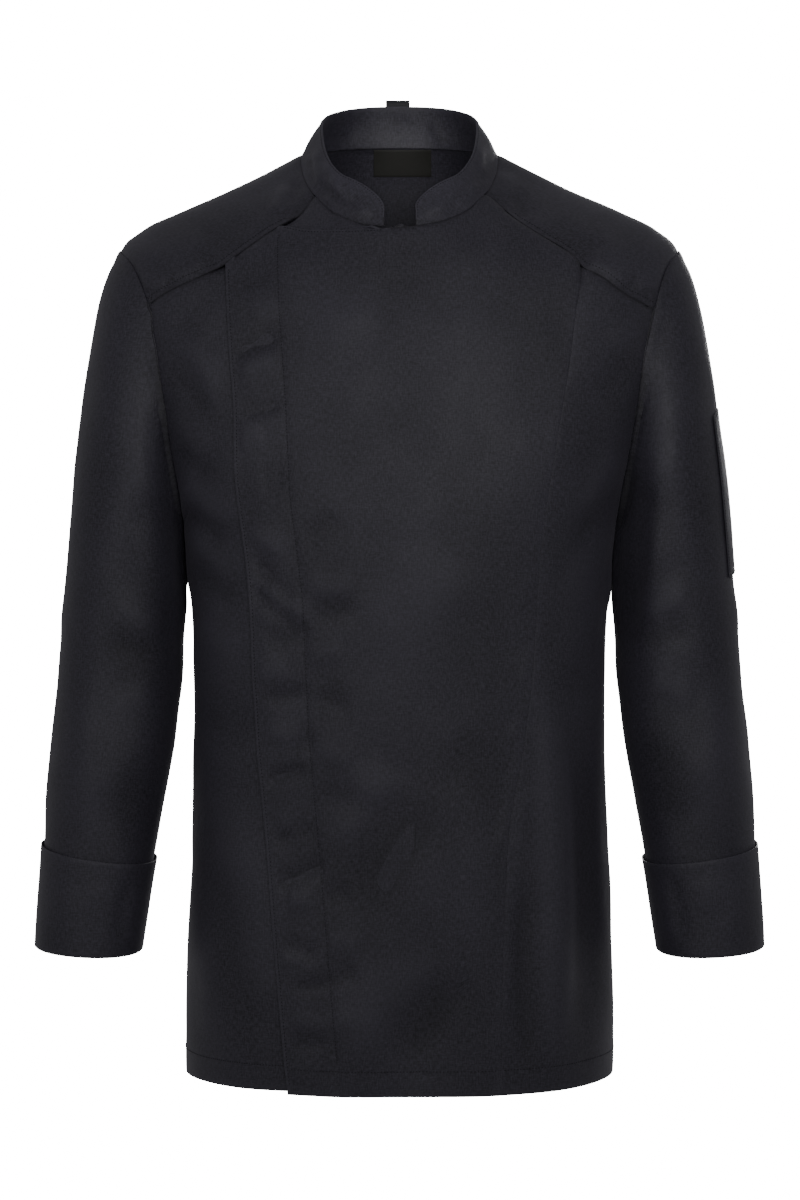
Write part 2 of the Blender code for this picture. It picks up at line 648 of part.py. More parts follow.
def collar(s, material):
    line = collar_line(s)
    feet, heads = [], []
    for turn, depth in line:
        normal = facing(torso, turn, NECK)
        foot = torso(turn, NECK) - normal * depth
        head = ring_point(COLLAR_TOP, turn)
        front_share = max(0.0, -foot[1] / TORSO[-1][1]) ** COLLAR_UPRIGHT_POWER
        head[0] += (foot[0] - head[0]) * front_share * COLLAR_UPRIGHT
        feet.append(foot)
        heads.append(head)
    steps = np.linalg.norm(np.diff(np.array(feet), axis=0), axis=1)
    run = np.concatenate(([0.0], np.cumsum(steps)))
    rows = []
    for j in range(COLLAR_ROWS + 1):
        row = []
        for i, (foot, head) in enumerate(zip(feet, heads)):
            from_end = min(run[i], run[-1] - run[i], COLLAR_ROUND)
            height = np.linalg.norm(head - foot)
            drop = COLLAR_ROUND - math.sqrt(COLLAR_ROUND ** 2 - (COLLAR_ROUND - from_end) ** 2)
            share = j / COLLAR_ROWS * (height - drop) / height
            up = (head - foot) / height
            outwards = np.array((foot[0], foot[1], 0.0)) / np.linalg.norm(foot[:2])
            point = foot + up * (COLLAR_GAP + share * (height - COLLAR_GAP))
            row.append(point + outwards * COLLAR_BULGE * math.sin(math.pi * share))
        rows.append(row)
    sheet = Sheet()
    numbers = []
    for j, (row, normals) in enumerate(zip(rows, grid_normals(rows, False))):
        numbers.append([sheet.corner((j, i), point, point + normal * COLLAR_CLOTH)
                        for i, (point, normal) in enumerate(zip(row, normals))])
    sheet.add_rows(numbers)
    sheet.face_out()
    return sheet.build("collar", material)


def sleeve_ring(place, turn, side):
    """A point of the sleeve's table surface; turn 0 is the outer side and 90 the front."""
    inner_x, inner_z, outer_x, outer_z, centre_y, half_depth, front_dip, square = spline(SLEEVE, place)
    out, fore = math.cos(math.radians(turn)), math.sin(math.radians(turn))
    reach = (abs(out) ** square + abs(fore) ** square) ** (-1 / square)
    x = (inner_x + outer_x) / 2 + (outer_x - inner_x) / 2 * reach * out
    z = (inner_z + outer_z) / 2 + (outer_z - inner_z) / 2 * reach * out - front_dip * reach * fore
    y = centre_y - half_depth * reach * fore
    return np.array((side * x, y, z))


def sleeve_fold(place, turn):
    height = 0.0
    for ring, angle, half_length, half_width, rise in SLEEVE_FOLDS:
        off = (turn - angle + 180.0) % 360.0 - 180.0
        height += rise * math.exp(-((place - ring + off / FOLD_SLANT) / half_width) ** 2
                                  - (off / half_length) ** 2)
    return height


def armhole_loop(s, side_name):
    """The armhole's corners from the shoulder down the front, under the arm and up the back."""
    front = joined(s["arm_yoke_front_" + side_name][::-1], s["arm_front_" + side_name][::-1])
    behind = joined(s["arm_back_" + side_name][::-1], s["arm_yoke_back_" + side_name][::-1])
    return [tuple(place) for place in joined(front, behind)[:-1]]


def sleeve_rows(s, side, side_name):
    """Outer points of the sleeve, ring by ring, with the inward offset of each."""
    loop = armhole_loop(s, side_name)
    inner_x, inner_z, outer_x, outer_z, centre_y, half_depth = SLEEVE[0][:6]
    centre = np.array(((inner_x + outer_x) / 2, (inner_z + outer_z) / 2))
    half = np.array(((outer_x - inner_x) / 2, (outer_z - inner_z) / 2))
    away = np.array((side * half[1], 0.0, -half[0])) / np.linalg.norm(half)
    head, turns = [], []
    for turn, level in loop:
        point = torso(turn, level)
        head.append(point + away * SLEEVE_GAP)
        out = float(np.dot(np.array((side * point[0], point[2])) - centre, half)) / float(np.dot(half, half))
        fore = -(point[1] - centre_y) / half_depth
        turns.append(math.degrees(math.atan2(fore, out)) % 360.0)
    turns[0] = 0.0
    even = [360.0 * k / SLEEVE_AROUND for k in range(SLEEVE_AROUND)]
    last = len(SLEEVE) - 1
    rows = []
    for j in range(SLEEVE_STEPS + 1):
        place = last * j / SLEEVE_STEPS
        fade = max(0.0, 1.0 - place / HEAD_FADE)
        fade = fade * fade * (3 - 2 * fade)
        row = []
        for k in range(SLEEVE_AROUND):
            turn = even[k] + (turns[k] - even[k]) * fade
            point = sleeve_ring(place, turn, side)
            row.append(point + (head[k] - sleeve_ring(0.0, turns[k], side)) * fade)
        rows.append(row)
    normals = grid_normals(rows, True)
    sign = 1.0 if np.dot(normals[-1][0], (side, 0, 0)) > 0 else -1.0
    normals = [[normal * sign for normal in line] for line in normals]
    for j, row in enumerate(rows):
        place = last * j / SLEEVE_STEPS
        for k in range(SLEEVE_AROUND):
            row[k] = row[k] + normals[j][k] * sleeve_fold(place, even[k]) * min(place / CREASE_FADE, 1.0)
    insets = [[-CLOTH * normal for normal in line] for line in normals]
    for k, (turn, level) in enumerate(loop):
        body = facing(torso, turn, level)
        agree = float(np.dot(body, normals[0][k]))
        if agree > 0.2:
            insets[0][k] = -CLOTH * body
    return rows, insets, normals


def sleeve(name, rows, insets, material):
    sheet = Sheet()
    numbers = [[sheet.corner((j, k), point, point + inset) for k, (point, inset) in enumerate(zip(row, line))]
               for j, (row, line) in enumerate(zip(rows, insets))]
    sheet.add_rows(numbers, closed=True)
    sheet.face_out()
    return sheet.build(name, material)


def between_rings(rings, place):
    """A ring at a fractional place between rings of points."""
    low = min(int(place), len(rings) - 2)
    share = place - low
    return (1 - share) * np.array(rings[low]) + share * np.array(rings[low + 1])


def cuff(name, rows, normals, material):
    """Turned-back cuff: a doubled band round the sleeve's end, with a fold under its edge."""
    depth = CUFF_DEPTH_ROWS * SLEEVE_STEPS / (len(SLEEVE) - 1)
    inside, outside = [], []
    for j in range(CUFF_ROWS + 1):
        place = SLEEVE_STEPS - depth * (1 - j / CUFF_ROWS)
        ring, out = between_rings(rows, place), between_rings(normals, place)
        inside.append(ring + out * CUFF_GAP)
        outside.append(ring + out * (CUFF_GAP + CUFF_CLOTH))
    end, out = np.array(rows[-1]), np.array(normals[-1])
    down = end - np.array(rows[-2])
    down /= np.linalg.norm(down, axis=1)[:, None]
    inside.append(end + out * CUFF_GAP + down * SEAM_GAP)
    lip = [end - out * CLOTH + down * SEAM_GAP,
           end - out * CLOTH + down * (CUFF_LIP - CUFF_LIP_ROUND),
           end + out * SEAM_GAP + down * CUFF_LIP,
           end + out * (CUFF_GAP + CUFF_CLOTH - CUFF_LIP_ROUND / 2) + down * (CUFF_LIP - CUFF_LIP_ROUND)]
    bm = bmesh.new()
    rings = [[bm.verts.new(point * MM) for point in ring] for ring in inside + lip + outside[::-1]]
    for lower, upper in zip(rings, rings[1:] + rings[:1]):
        for k in range(SLEEVE_AROUND):
            after = (k + 1) % SLEEVE_AROUND
            bm.faces.new((lower[k], lower[after], upper[after], upper[k]))
    bmesh.ops.recalc_face_normals(bm, faces=bm.faces)
    bmesh.ops.triangulate(bm, faces=bm.faces, quad_method='FIXED', ngon_method='BEAUTY')
    return add_object(name, bm, material)


def sleeve_pocket(rows, normals, material):
    """Pen pocket: a patch laid on the left sleeve's own facets."""
    sheet = Sheet()
    numbers = []
    for j in POCKET_ROWS:
        ring, out = between_rings(rows, j), between_rings(normals, j)
        inner = ring + out * POCKET_GAP
        outer = inner + out * CLOTH
        numbers.append([sheet.corner((j, k), outer[k], inner[k]) for k in POCKET_COLUMNS])
    sheet.add_rows(numbers)
    sheet.face_out()
    return sheet.build("sleeve_pocket", material)


def neck_label(material):
    """Bare woven label inside the back of the neck, a rectangle bent to the inside of the yoke."""
    sheet = Sheet()
    numbers = []
    for j in range(LABEL_ROWS + 1):
        z = LABEL_TOP + (LABEL_BOTTOM - LABEL_TOP) * j / LABEL_ROWS
        line = []
        for i in range(LABEL_COLUMNS + 1):
            x = LABEL_MIDDLE + LABEL_HALF_WIDTH * (2 * i / LABEL_COLUMNS - 1)
            turn, level = spot(x, z, back=True)
            normal = facing(torso, turn, level)
            face = torso(turn, level) - normal * (CLOTH + LABEL_CLEARANCE)
            line.append(sheet.corner((j, i), face, face - normal * LABEL_CLOTH))
        numbers.append(line)
    sheet.add_rows(numbers)
    sheet.face_out()
    return sheet.build("neck_label", material)


def hanging_loop(material):
    foot_y, foot_z = TORSO[-1][2], TORSO[-1][5]
    head_y, head_z = COLLAR_TOP[2], COLLAR_TOP[5]
    middle = []
    for i in range(LOOP_STEPS * (len(LOOP_PATH) - 1) + 1):
        above_foot, away = spline(LOOP_PATH, i / LOOP_STEPS)
        share = above_foot / (head_z - foot_z)
        bulge = COLLAR_BULGE * math.sin(math.pi * min(share, 1.0))
        middle.append(np.array((foot_y + (head_y - foot_y) * share + bulge + away, foot_z + above_foot)))
    bm = bmesh.new()
    sections = []
    for i, point in enumerate(middle):
        along = middle[min(i + 1, len(middle) - 1)] - middle[max(i - 1, 0)]
        half = np.array((-along[1], along[0])) / np.linalg.norm(along) * LOOP_CLOTH / 2
        section = []
        for x, (y, z) in ((-LOOP_WIDTH / 2, point + half), (LOOP_WIDTH / 2, point + half),
                          (LOOP_WIDTH / 2, point - half), (-LOOP_WIDTH / 2, point - half)):
            section.append(bm.verts.new(((LOOP_CENTRE_X + x) * MM, y * MM, z * MM)))
        sections.append(section)
    for lower, upper in zip(sections, sections[1:]):
        for k in range(4):
            after = (k + 1) % 4
            bm.faces.new((lower[k], lower[after], upper[after], upper[k]))
    bm.faces.new(sections[0])
    bm.faces.new(sections[-1])
    bmesh.ops.recalc_face_normals(bm, faces=bm.faces)
    return add_object("hanging_loop", bm, material)


def clear_scene():
    for item in list(bpy.data.objects):
        bpy.data.objects.remove(item, do_unlink=True)


def build_jacket():
    clear_scene()
    seams = torso_seams()
    twill = {name: cloth_material(name + "_twill", CHARCOAL, TWILL_ROUGHNESS) for name in
             ("front_under", "front_flap", "front_side_left", "back", "yoke", "collar", "sleeve_right",
              "sleeve_left", "cuff_right", "cuff_left", "sleeve_pocket")}
    front_under(seams, twill["front_under"])
    front_flap(seams, twill["front_flap"])
    front_side_left(seams, twill["front_side_left"])
    back(seams, twill["back"])
    yoke(seams, twill["yoke"])
    collar(seams, twill["collar"])
    for side, side_name in ((-1, "right"), (1, "left")):
        rows, insets, normals = sleeve_rows(seams, side, side_name)
        sleeve("sleeve_" + side_name, rows, insets, twill["sleeve_" + side_name])
        cuff("cuff_" + side_name, rows, normals, twill["cuff_" + side_name])
        if side > 0:
            sleeve_pocket(rows, normals, twill["sleeve_pocket"])
    neck_label(cloth_material("label_satin", LABEL_BLACK, SATIN_ROUGHNESS))
    hanging_loop(cloth_material("loop_tape", CHARCOAL, SATIN_ROUGHNESS))


build_jacket()
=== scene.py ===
import heapq
import math
import random

import bmesh
import bpy
import numpy as np
from mathutils import Matrix, Vector, noise
from mathutils.bvhtree import BVHTree
from mathutils.kdtree import KDTree


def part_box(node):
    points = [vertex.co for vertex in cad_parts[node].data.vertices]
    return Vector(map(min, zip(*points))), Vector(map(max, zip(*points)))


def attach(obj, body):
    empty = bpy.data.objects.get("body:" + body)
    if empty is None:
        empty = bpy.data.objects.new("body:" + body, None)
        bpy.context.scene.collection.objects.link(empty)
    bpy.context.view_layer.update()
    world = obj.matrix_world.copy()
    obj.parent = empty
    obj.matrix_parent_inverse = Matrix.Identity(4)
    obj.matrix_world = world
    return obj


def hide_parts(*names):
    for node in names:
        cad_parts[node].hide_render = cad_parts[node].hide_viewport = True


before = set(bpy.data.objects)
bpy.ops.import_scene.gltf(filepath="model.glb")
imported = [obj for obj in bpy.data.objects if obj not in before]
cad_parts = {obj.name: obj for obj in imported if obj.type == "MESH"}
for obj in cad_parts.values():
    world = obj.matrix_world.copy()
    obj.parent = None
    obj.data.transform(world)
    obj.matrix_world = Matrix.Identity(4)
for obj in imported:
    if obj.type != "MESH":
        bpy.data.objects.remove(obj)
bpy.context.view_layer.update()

# A long-sleeved chef jacket, filled out as if worn. +X is the wearer's left, the front faces -Y, +Z is up.
# Places in the tables are millimetres from the middle of the neck at shoulder level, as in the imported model.
MM = 0.001


# ------------ camera
# It stands level with the middle of the jacket, straight in front of it.

camera_data = bpy.data.cameras.new("camera")
camera_data.lens = 102.4
camera = bpy.data.objects.new("camera", camera_data)
camera.location = (0.0004, -2.8, -0.361)
camera.rotation_euler = (math.radians(90), 0, 0)
bpy.context.scene.collection.objects.link(camera)
bpy.context.scene.camera = camera


# ------------ wearer's right front
# Charcoal twill, cut with the part that lies under the overlapping front and the triangle at the throat.
# It is the innermost layer, so it is sewn first. Its hem is turned up 20 mm.

# Packed corners closer than this, in metres, are one; a sharper turn ends a smooth stretch.
WELD, SHARP_TURN = 0.00002, math.radians(45)


def outer_skin(node, narrowest=0.0, slivers=0.0):
    """The outside of a packed wall, as quads: of its smooth stretches, the one that faces away most.

    Faces lower than narrowest, in metres, are left off: they are the roll of an edge. Corners closer
    together than slivers are joined, since smooth cloth can't pass through needle-thin facets."""
    bm = bmesh.new()
    bm.from_mesh(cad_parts[node].data)
    bmesh.ops.remove_doubles(bm, verts=bm.verts, dist=WELD)
    low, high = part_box(node)
    middle = (low + high) / 2
    if high.x - low.x > 2 * abs(middle.x):
        middle.x = 0.0
        middle.y = 0.0
    done, best, most = set(), [], 0.0
    for first in bm.faces:
        if first in done:
            continue
        stretch, waiting = [], [first]
        done.add(first)
        while waiting:
            face = waiting.pop()
            stretch.append(face)
            for edge in face.edges:
                if len(edge.link_faces) == 2 and edge.calc_face_angle() < SHARP_TURN:
                    for other in edge.link_faces:
                        if other not in done:
                            done.add(other)
                            waiting.append(other)
        away = sum(face.calc_area() * face.normal.dot(face.calc_center_median() - middle) for face in stretch)
        if away > most:
            best, most = stretch, away
    kept = set(best)
    bmesh.ops.delete(bm, geom=[face for face in bm.faces if face not in kept], context='FACES')
    bmesh.ops.join_triangles(bm, faces=bm.faces, angle_face_threshold=math.radians(40),
                             angle_shape_threshold=math.radians(60))
    rolled = []
    for face in bm.faces:
        if face.calc_area() / max(edge.calc_length() for edge in face.edges) < narrowest:
            rolled.append(face)
    bmesh.ops.delete(bm, geom=rolled, context='FACES')
    if slivers:
        bmesh.ops.dissolve_degenerate(bm, dist=slivers, edges=bm.edges)
    return bm


def open_seam(mesh, side):
    """Marks the seam a tube is sewn along: the shortest way from its upper to its lower edge on one side."""
    ends = []
    for ring in borders(mesh):
        ends.append(max(ring, key=lambda number: mesh.vertices[number].co.dot(Vector(side))))
    nexts = {}
    for edge in mesh.edges:
        a, b = edge.vertices
        length = (mesh.vertices[a].co - mesh.vertices[b].co).length
        nexts.setdefault(a, []).append((b, length, edge))
        nexts.setdefault(b, []).append((a, length, edge))
    came, waiting = {}, [(0.0, ends[0], None, None)]
    while waiting:
        gone, here, before, way = heapq.heappop(waiting)
        if here in came:
            continue
        came[here] = (before, way)
        for there, length, edge in nexts[here]:
            if there not in came:
                heapq.heappush(waiting, (gone + length, there, here, edge))
    here = ends[1]
    while came[here][0] is not None:
        here, way = came[here]
        way.use_seam = True


def cut_flat(item, sewn_side=None):
    """Lays the piece's facets out flat, at real size and with the grain upright, as its UV map."""
    if sewn_side:
        open_seam(item.data, sewn_side)
    bpy.context.view_layer.objects.active = item
    item.select_set(True)
    bpy.ops.object.mode_set(mode='EDIT')
    bpy.ops.mesh.select_all(action='SELECT')
    bpy.ops.uv.unwrap(method='ANGLE_BASED', margin=0.0)
    bpy.ops.object.mode_set(mode='OBJECT')
    item.select_set(False)
    mesh = item.data
    uv = mesh.uv_layers.active.data
    flat, real, slope = 0.0, 0.0, Vector((0.0, 0.0))
    for face in mesh.polygons:
        corners = [uv[k].uv.copy() for k in face.loop_indices]
        places = [mesh.vertices[v].co for v in face.vertices]
        for a in range(1, len(corners) - 1):
            first, second = corners[a] - corners[0], corners[a + 1] - corners[0]
            flat += abs(first.cross(second)) / 2
            p, q = places[a] - places[0], places[a + 1] - places[0]
            real += p.cross(q).length / 2
            turn = first.cross(second)
            if abs(turn) > 1e-12:
                slope += Vector((second.y * p.z - first.y * q.z, first.x * q.z - second.x * p.z)) * (
                    1 if turn > 0 else -1)
    size = math.sqrt(real / flat)
    up = slope.normalized()
    for loop in uv:
        u, v = loop.uv * size
        loop.uv = (u * up.y - v * up.x, u * up.x + v * up.y)


def make_item(name, bm):
    mesh = bpy.data.meshes.new(name)
    bm.to_mesh(mesh)
    bm.free()
    item = bpy.data.objects.new(name, mesh)
    bpy.context.scene.collection.objects.link(item)
    return item


def points_of(mesh):
    points = np.zeros(len(mesh.vertices) * 3)
    mesh.vertices.foreach_get("co", points)
    normals = np.zeros(len(mesh.vertices) * 3)
    mesh.vertices.foreach_get("normal", normals)
    return points.reshape(-1, 3), normals.reshape(-1, 3)


def move_to(mesh, points):
    mesh.vertices.foreach_set("co", points.ravel())
    mesh.update()


# How often a piece's facets are halved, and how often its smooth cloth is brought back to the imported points.
CLOTH_CUTS, FITTINGS = 3, 3


def refine(item, cuts=CLOTH_CUTS):
    """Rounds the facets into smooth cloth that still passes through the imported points."""
    mesh = item.data
    rounder = item.modifiers.new("round", 'SUBSURF')
    rounder.levels = rounder.render_levels = cuts
    rounder.boundary_smooth = 'PRESERVE_CORNERS'
    rounder.uv_smooth = 'PRESERVE_BOUNDARIES'
    aim = points_of(mesh)[0]
    points = aim.copy()
    for _ in range(FITTINGS):
        smooth = item.evaluated_get(bpy.context.evaluated_depsgraph_get()).data
        points += aim - points_of(smooth)[0][:len(aim)]
        move_to(mesh, points)
    smooth = bpy.data.meshes.new_from_object(item.evaluated_get(bpy.context.evaluated_depsgraph_get()))
    item.modifiers.clear()
    item.data = smooth
    bpy.data.meshes.remove(mesh)


def borders(mesh):
    """The open edges of a mesh as closed rings of vertex numbers."""
    bm = bmesh.new()
    bm.from_mesh(mesh)
    bm.edges.ensure_lookup_table()
    nexts = {}
    for edge in bm.edges:
        if edge.is_boundary:
            loop = edge.link_loops[0]
            nexts[loop.vert.index] = loop.link_loop_next.vert.index
    bm.free()
    rings = []
    while nexts:
        first, after = nexts.popitem()
        ring = [first, after]
        while after in nexts:
            after = nexts.pop(after)
            ring.append(after)
        rings.append(ring[:-1])
    return rings


def tree_of(places):
    tree = KDTree(len(places))
    for number, place in enumerate(places):
        tree.insert(place, number)
    tree.balance()
    return tree


def from_edge(mesh):
    """How far each vertex lies from the piece's nearest edge, in mm."""
    tree = tree_of([mesh.vertices[number].co for ring in borders(mesh) for number in ring])
    return np.array([tree.find(vertex.co)[2] for vertex in mesh.vertices]) / MM


def smoothstep(values):
    inside = np.clip(values, 0.0, 1.0)
    return inside * inside * (3 - 2 * inside)


# Which two coordinates a side shows, and the direction it is seen from.
SIDES = {"front": (0, 2, (0, -1, 0)), "back": (0, 2, (0, 1, 0)),
         "left": (1, 2, (1, 0, 0)), "right": (1, 2, (-1, 0, 0))}


def creases(points, normals, side, rows):
    """How far the cloth stands out at each point, in mm, from soft folds seen from one side.

    Each row is a fold from one end to the other: first end, last end, sideways sag at its middle, half width,
    height out of the cloth, and how much gentler its second flank is than its first."""
    across, up, facing = SIDES[side]
    seen = smoothstep(normals @ np.array(facing, dtype=float) * 1.8)
    place = points[:, (across, up)] / MM
    height = np.zeros(len(points))
    for x0, z0, x1, z1, sag, width, rise, skew in rows:
        start, end = np.array((x0, z0), dtype=float), np.array((x1, z1), dtype=float)
        run = end - start
        length = math.hypot(*run)
        along = run / length
        aside = np.array((-along[1], along[0]))
        share = np.clip((place - start) @ along / length, 0.0, 1.0)
        bow = sag * 4 * share * (1 - share)
        off = (place - start) @ aside - bow
        beyond = (place - start) @ along - share * length
        flank = np.where(off > 0, width * skew, width)
        fade = smoothstep(np.minimum(share, 1 - share) / 0.35 + 0.06)
        height += rise * fade * np.exp(-(off / flank) ** 2 - (beyond / width) ** 2)
    return height * seen


def ripple(points, size, seed):
    """Uneven softness of worn cloth, from -1 to 1, over patches of a size in mm."""
    scale = 1 / (size * MM)
    return np.array([noise.noise(Vector(point) * scale + Vector((seed, seed * 2, 0))) for point in points])


# How far the cloth beside an edge follows it, in mm.
FOLLOWS = 12.0


def spread(points, numbers, moves):
    """Moves the points of an edge, and lets the cloth beside it follow less and less."""
    tree = tree_of(points[numbers])
    for k in range(len(points)):
        _, near, far = tree.find(points[k])
        points[k] += moves[near] * float(smoothstep(1 - far / (FOLLOWS * MM)))


# In mm: how far off a neighbour's edge still draws a piece's, and how far past it the piece laps.
JOIN_REACH, SEAM_LAP = 4.0, 0.15
# How often the pulls along an edge are evened out.
PULL_PASSES = 14


def join_edges(item, neighbours):
    """Brings a piece's edge onto the edges of the pieces it is sewn to, and a hair past them."""
    mesh = item.data
    points = points_of(mesh)[0]
    runs = []
    for other in neighbours:
        other_points = points_of(other.data)[0]
        for ring in borders(other.data):
            runs.append((other_points[ring], np.roll(other_points[ring], -1, axis=0)))
    starts = np.concatenate([run[0] for run in runs])
    ends = np.concatenate([run[1] for run in runs])
    tree = tree_of(starts)
    numbers, moves = [], []
    for ring in borders(mesh):
        pulls = []
        for number in ring:
            place = points[number]
            best = None
            for _, near, _ in tree.find_n(place, 4):
                run = ends[near] - starts[near]
                share = np.clip((place - starts[near]) @ run / max(run @ run, 1e-12), 0.0, 1.0)
                move = starts[near] + run * share - place
                if best is None or np.linalg.norm(move) < np.linalg.norm(best):
                    best = move
            far = np.linalg.norm(best) / MM
            fade = float(smoothstep((JOIN_REACH - far) / (JOIN_REACH / 2)))
            pulls.append(best * fade * (far + SEAM_LAP) / max(far, 1e-6))
        pulls = np.array(pulls)
        for _ in range(PULL_PASSES):
            pulls = 0.5 * pulls + 0.25 * (np.roll(pulls, 1, axis=0) + np.roll(pulls, -1, axis=0))
        numbers += ring
        moves += list(pulls)
    spread(points, numbers, np.array(moves))
    move_to(mesh, points)


# The body's lower edge lies below this height, and its hem is turned up this far, in mm.
HEM_EDGE, HEM_TURN = -735, 20


def bare_hem(points):
    return np.where(points[:, 2] < HEM_EDGE, 1.0, 0.0)


def drape(item, folds, dip=0.5, free=bare_hem, softness=0.55, extra=None, calm=12.0, deep=1.1):
    """Works the folds into a piece, lets its edges sink by dip, and notes where the cloth wears lighter and
    where shade is painted into its colour.

    dip, free and deep are numbers or, like extra, worked out from the points in mm. free is 1
    at edges that are turned and bare, where the cloth wears lighter, and 0 at edges that are sewn in, where a
    painted shade of the seam's groove darkens it for a few mm, given by deep. Fold troughs also
    get painted shade, and fold ridges a painted highlight. The folds die out over the last calm mm before an
    edge."""
    mesh = item.data
    points, normals = points_of(mesh)

    def given(value):
        return value(points / MM) if callable(value) else value

    out = np.zeros(len(points))
    for side, rows in folds.items():
        out += creases(points, normals, side, rows)
    if extra is not None:
        out += extra(points / MM)
    out += softness * (ripple(points, 75, 3.1) + 0.45 * ripple(points, 26, 7.7))
    edge = from_edge(mesh)
    out = out * smoothstep(edge / calm) - given(dip) * np.exp(-(edge / 2.6) ** 2)
    move_to(mesh, points + normals * (out * MM)[:, None])
    wear_and_painted_shade = mesh.attributes.new("wear_and_painted_shade", 'FLOAT', 'POINT')
    bare = given(free)
    # Lighter from wear along bare turned edges.
    wear_and_shade_level = 0.4 + 0.3 * bare * np.exp(-(edge / 3.0) ** 2)
    # Painted shade beside sewn edges, where the seam's groove would lie in shadow.
    wear_and_shade_level -= 0.4 * (1 - bare) * np.exp(-(edge / given(deep)) ** 2)
    # Painted shade in fold troughs and a painted highlight on fold ridges.
    wear_and_shade_level += 0.12 * np.clip(out, -1.8, 2.0)
    wear_and_painted_shade.data.foreach_set("value", np.clip(wear_and_shade_level, 0.0, 1.0))
    mesh.update()


def puckers(seam, spacing, reach, width, rise, seed, slant=0.25):
    """Short uneven folds that cross a seam, a table of (x, z), where the thread draws it in."""
    chance = random.Random(seed)
    rows = []
    for first, second in zip(seam, seam[1:]):
        start, run = Vector(first), Vector(second) - Vector(first)
        along = run.normalized()
        aside = Vector((-along.y, along.x))
        for k in range(int(run.length / spacing)):
            place = start + along * (spacing * (k + chance.uniform(0.1, 0.9)))
            lean = along * chance.uniform(-slant, slant)
            far, near = chance.uniform(0.5, 1.0) * reach, chance.uniform(0.4, 1.0) * reach
            a, b = place + (aside + lean) * far, place - (aside + lean) * near
            rows.append((a.x, a.y, b.x, b.y, chance.uniform(-1.5, 1.5), width * chance.uniform(0.8, 1.3),
                         rise * chance.uniform(0.5, 1.2) * chance.choice((-1, 1)), chance.uniform(1.0, 1.5)))
    return rows


def set_inputs(tree, node, inputs):
    """Gives each input its value, or links it to the output that feeds it."""
    for name, value in inputs.items():
        if isinstance(value, bpy.types.NodeSocket):
            tree.links.new(value, node.inputs[name])
        else:
            node.inputs[name].default_value = value


def add_node(tree, kind, inputs, **settings):
    node = tree.nodes.new("ShaderNode" + kind)
    for name, value in settings.items():
        setattr(node, name, value)
    set_inputs(tree, node, inputs)
    return node


def mixed(tree, factor, first, second):
    """One colour that passes into another."""
    inputs = {"Factor": factor, "A": first, "B": second}
    return add_node(tree, "Mix", inputs, data_type='RGBA').outputs["Result"]


def new_material(name, inputs):
    material = bpy.data.materials.new(name)
    material.use_nodes = True
    set_inputs(material.node_tree, material.node_tree.nodes["Principled BSDF"], inputs)
    return material


def twill():
    """Charcoal cotton and polyester twill: a fine steep rib with a soft, slightly blue sheen."""
    material = bpy.data.materials.get("charcoal_twill")
    if material:
        return material
    material = new_material("charcoal_twill", {
        "Specular IOR Level": 0.22, "Sheen Weight": 0.06, "Sheen Roughness": 0.55,
        "Sheen Tint": (0.78, 0.74, 0.90, 1)})
    tree = material.node_tree
    laid = add_node(tree, "UVMap", {}, uv_map="UVMap").outputs["UV"]

    def mapped(scale, angle=0.0):
        inputs = {"Scale": scale, "Rotation": (0, 0, angle), "Vector": laid}
        return add_node(tree, "Mapping", inputs).outputs["Vector"]

    def noise_of(scale, detail):
        inputs = {"Scale": 1.0, "Detail": detail, "Vector": mapped(scale)}
        return add_node(tree, "TexNoise", inputs).outputs["Fac"]

    def ramp(source, low, high, low_at=0.3, high_at=0.7):
        inputs = {"From Min": low_at, "From Max": high_at, "To Min": low, "To Max": high, "Value": source}
        return add_node(tree, "MapRange", inputs).outputs["Result"]

    def sum_of(operation, *terms):
        return add_node(tree, "Math", dict(enumerate(terms)), operation=operation).outputs[0]

    rib = add_node(tree, "TexWave", {
        "Scale": 420.0, "Distortion": 0.6, "Detail": 1.0, "Detail Scale": 3.0,
        "Vector": mapped((1, 1, 1), math.radians(27))}, wave_type='BANDS', bands_direction='X').outputs["Fac"]
    slub = noise_of((880, 240, 1), 2.5)
    pick = noise_of((260, 820, 1), 2.5)
    cloud = noise_of((14, 9, 1), 4.0)

    yarns = sum_of('ADD', ramp(slub, 0.0, 0.55, 0.33, 0.67), ramp(pick, 0.0, 0.45, 0.33, 0.67))
    blend = sum_of('MULTIPLY_ADD', yarns, ramp(rib, 0.55, 1.0, 0.0, 1.0), ramp(cloud, -0.08, 0.16))
    colour = mixed(tree, blend, (0.0040, 0.0037, 0.0056, 1), (0.0312, 0.0286, 0.0400, 1))
    # The attribute read here carries wear and painted light: higher up, the colour lightens from wear at bare
    # edges and as a painted highlight on fold ridges;
    wear_and_shade = add_node(tree, "Attribute", {}, attribute_name="wear_and_painted_shade").outputs["Fac"]
    # below 0.25 it passes into a near-black painted shade beside sewn seams, under the arm and in fold
    # troughs.
    wear_and_painted_highlight = mixed(tree, ramp(wear_and_shade, 0.0, 0.6, 0.3, 1.0), colour, (0.0340, 0.0318, 0.0430, 1))
    with_painted_shade = mixed(tree, ramp(wear_and_shade, 0.7, 0.0, 0.0, 0.25), wear_and_painted_highlight, (0.0030, 0.0028, 0.0038, 1))

    height = sum_of('MULTIPLY_ADD', rib, 0.6, sum_of('ADD', slub, pick))
    weave = add_node(tree, "Bump", {"Strength": 0.35, "Distance": 0.00012, "Height": height})
    soft = add_node(tree, "Bump", {
        "Strength": 0.30, "Distance": 0.0016, "Height": noise_of((48, 34, 1), 3.0),
        "Normal": weave.outputs["Normal"]})
    set_inputs(tree, tree.nodes["Principled BSDF"], {
        "Base Color": with_painted_shade, "Roughness": ramp(cloud, 0.62, 0.52), "Normal": soft.outputs["Normal"]})
    return material


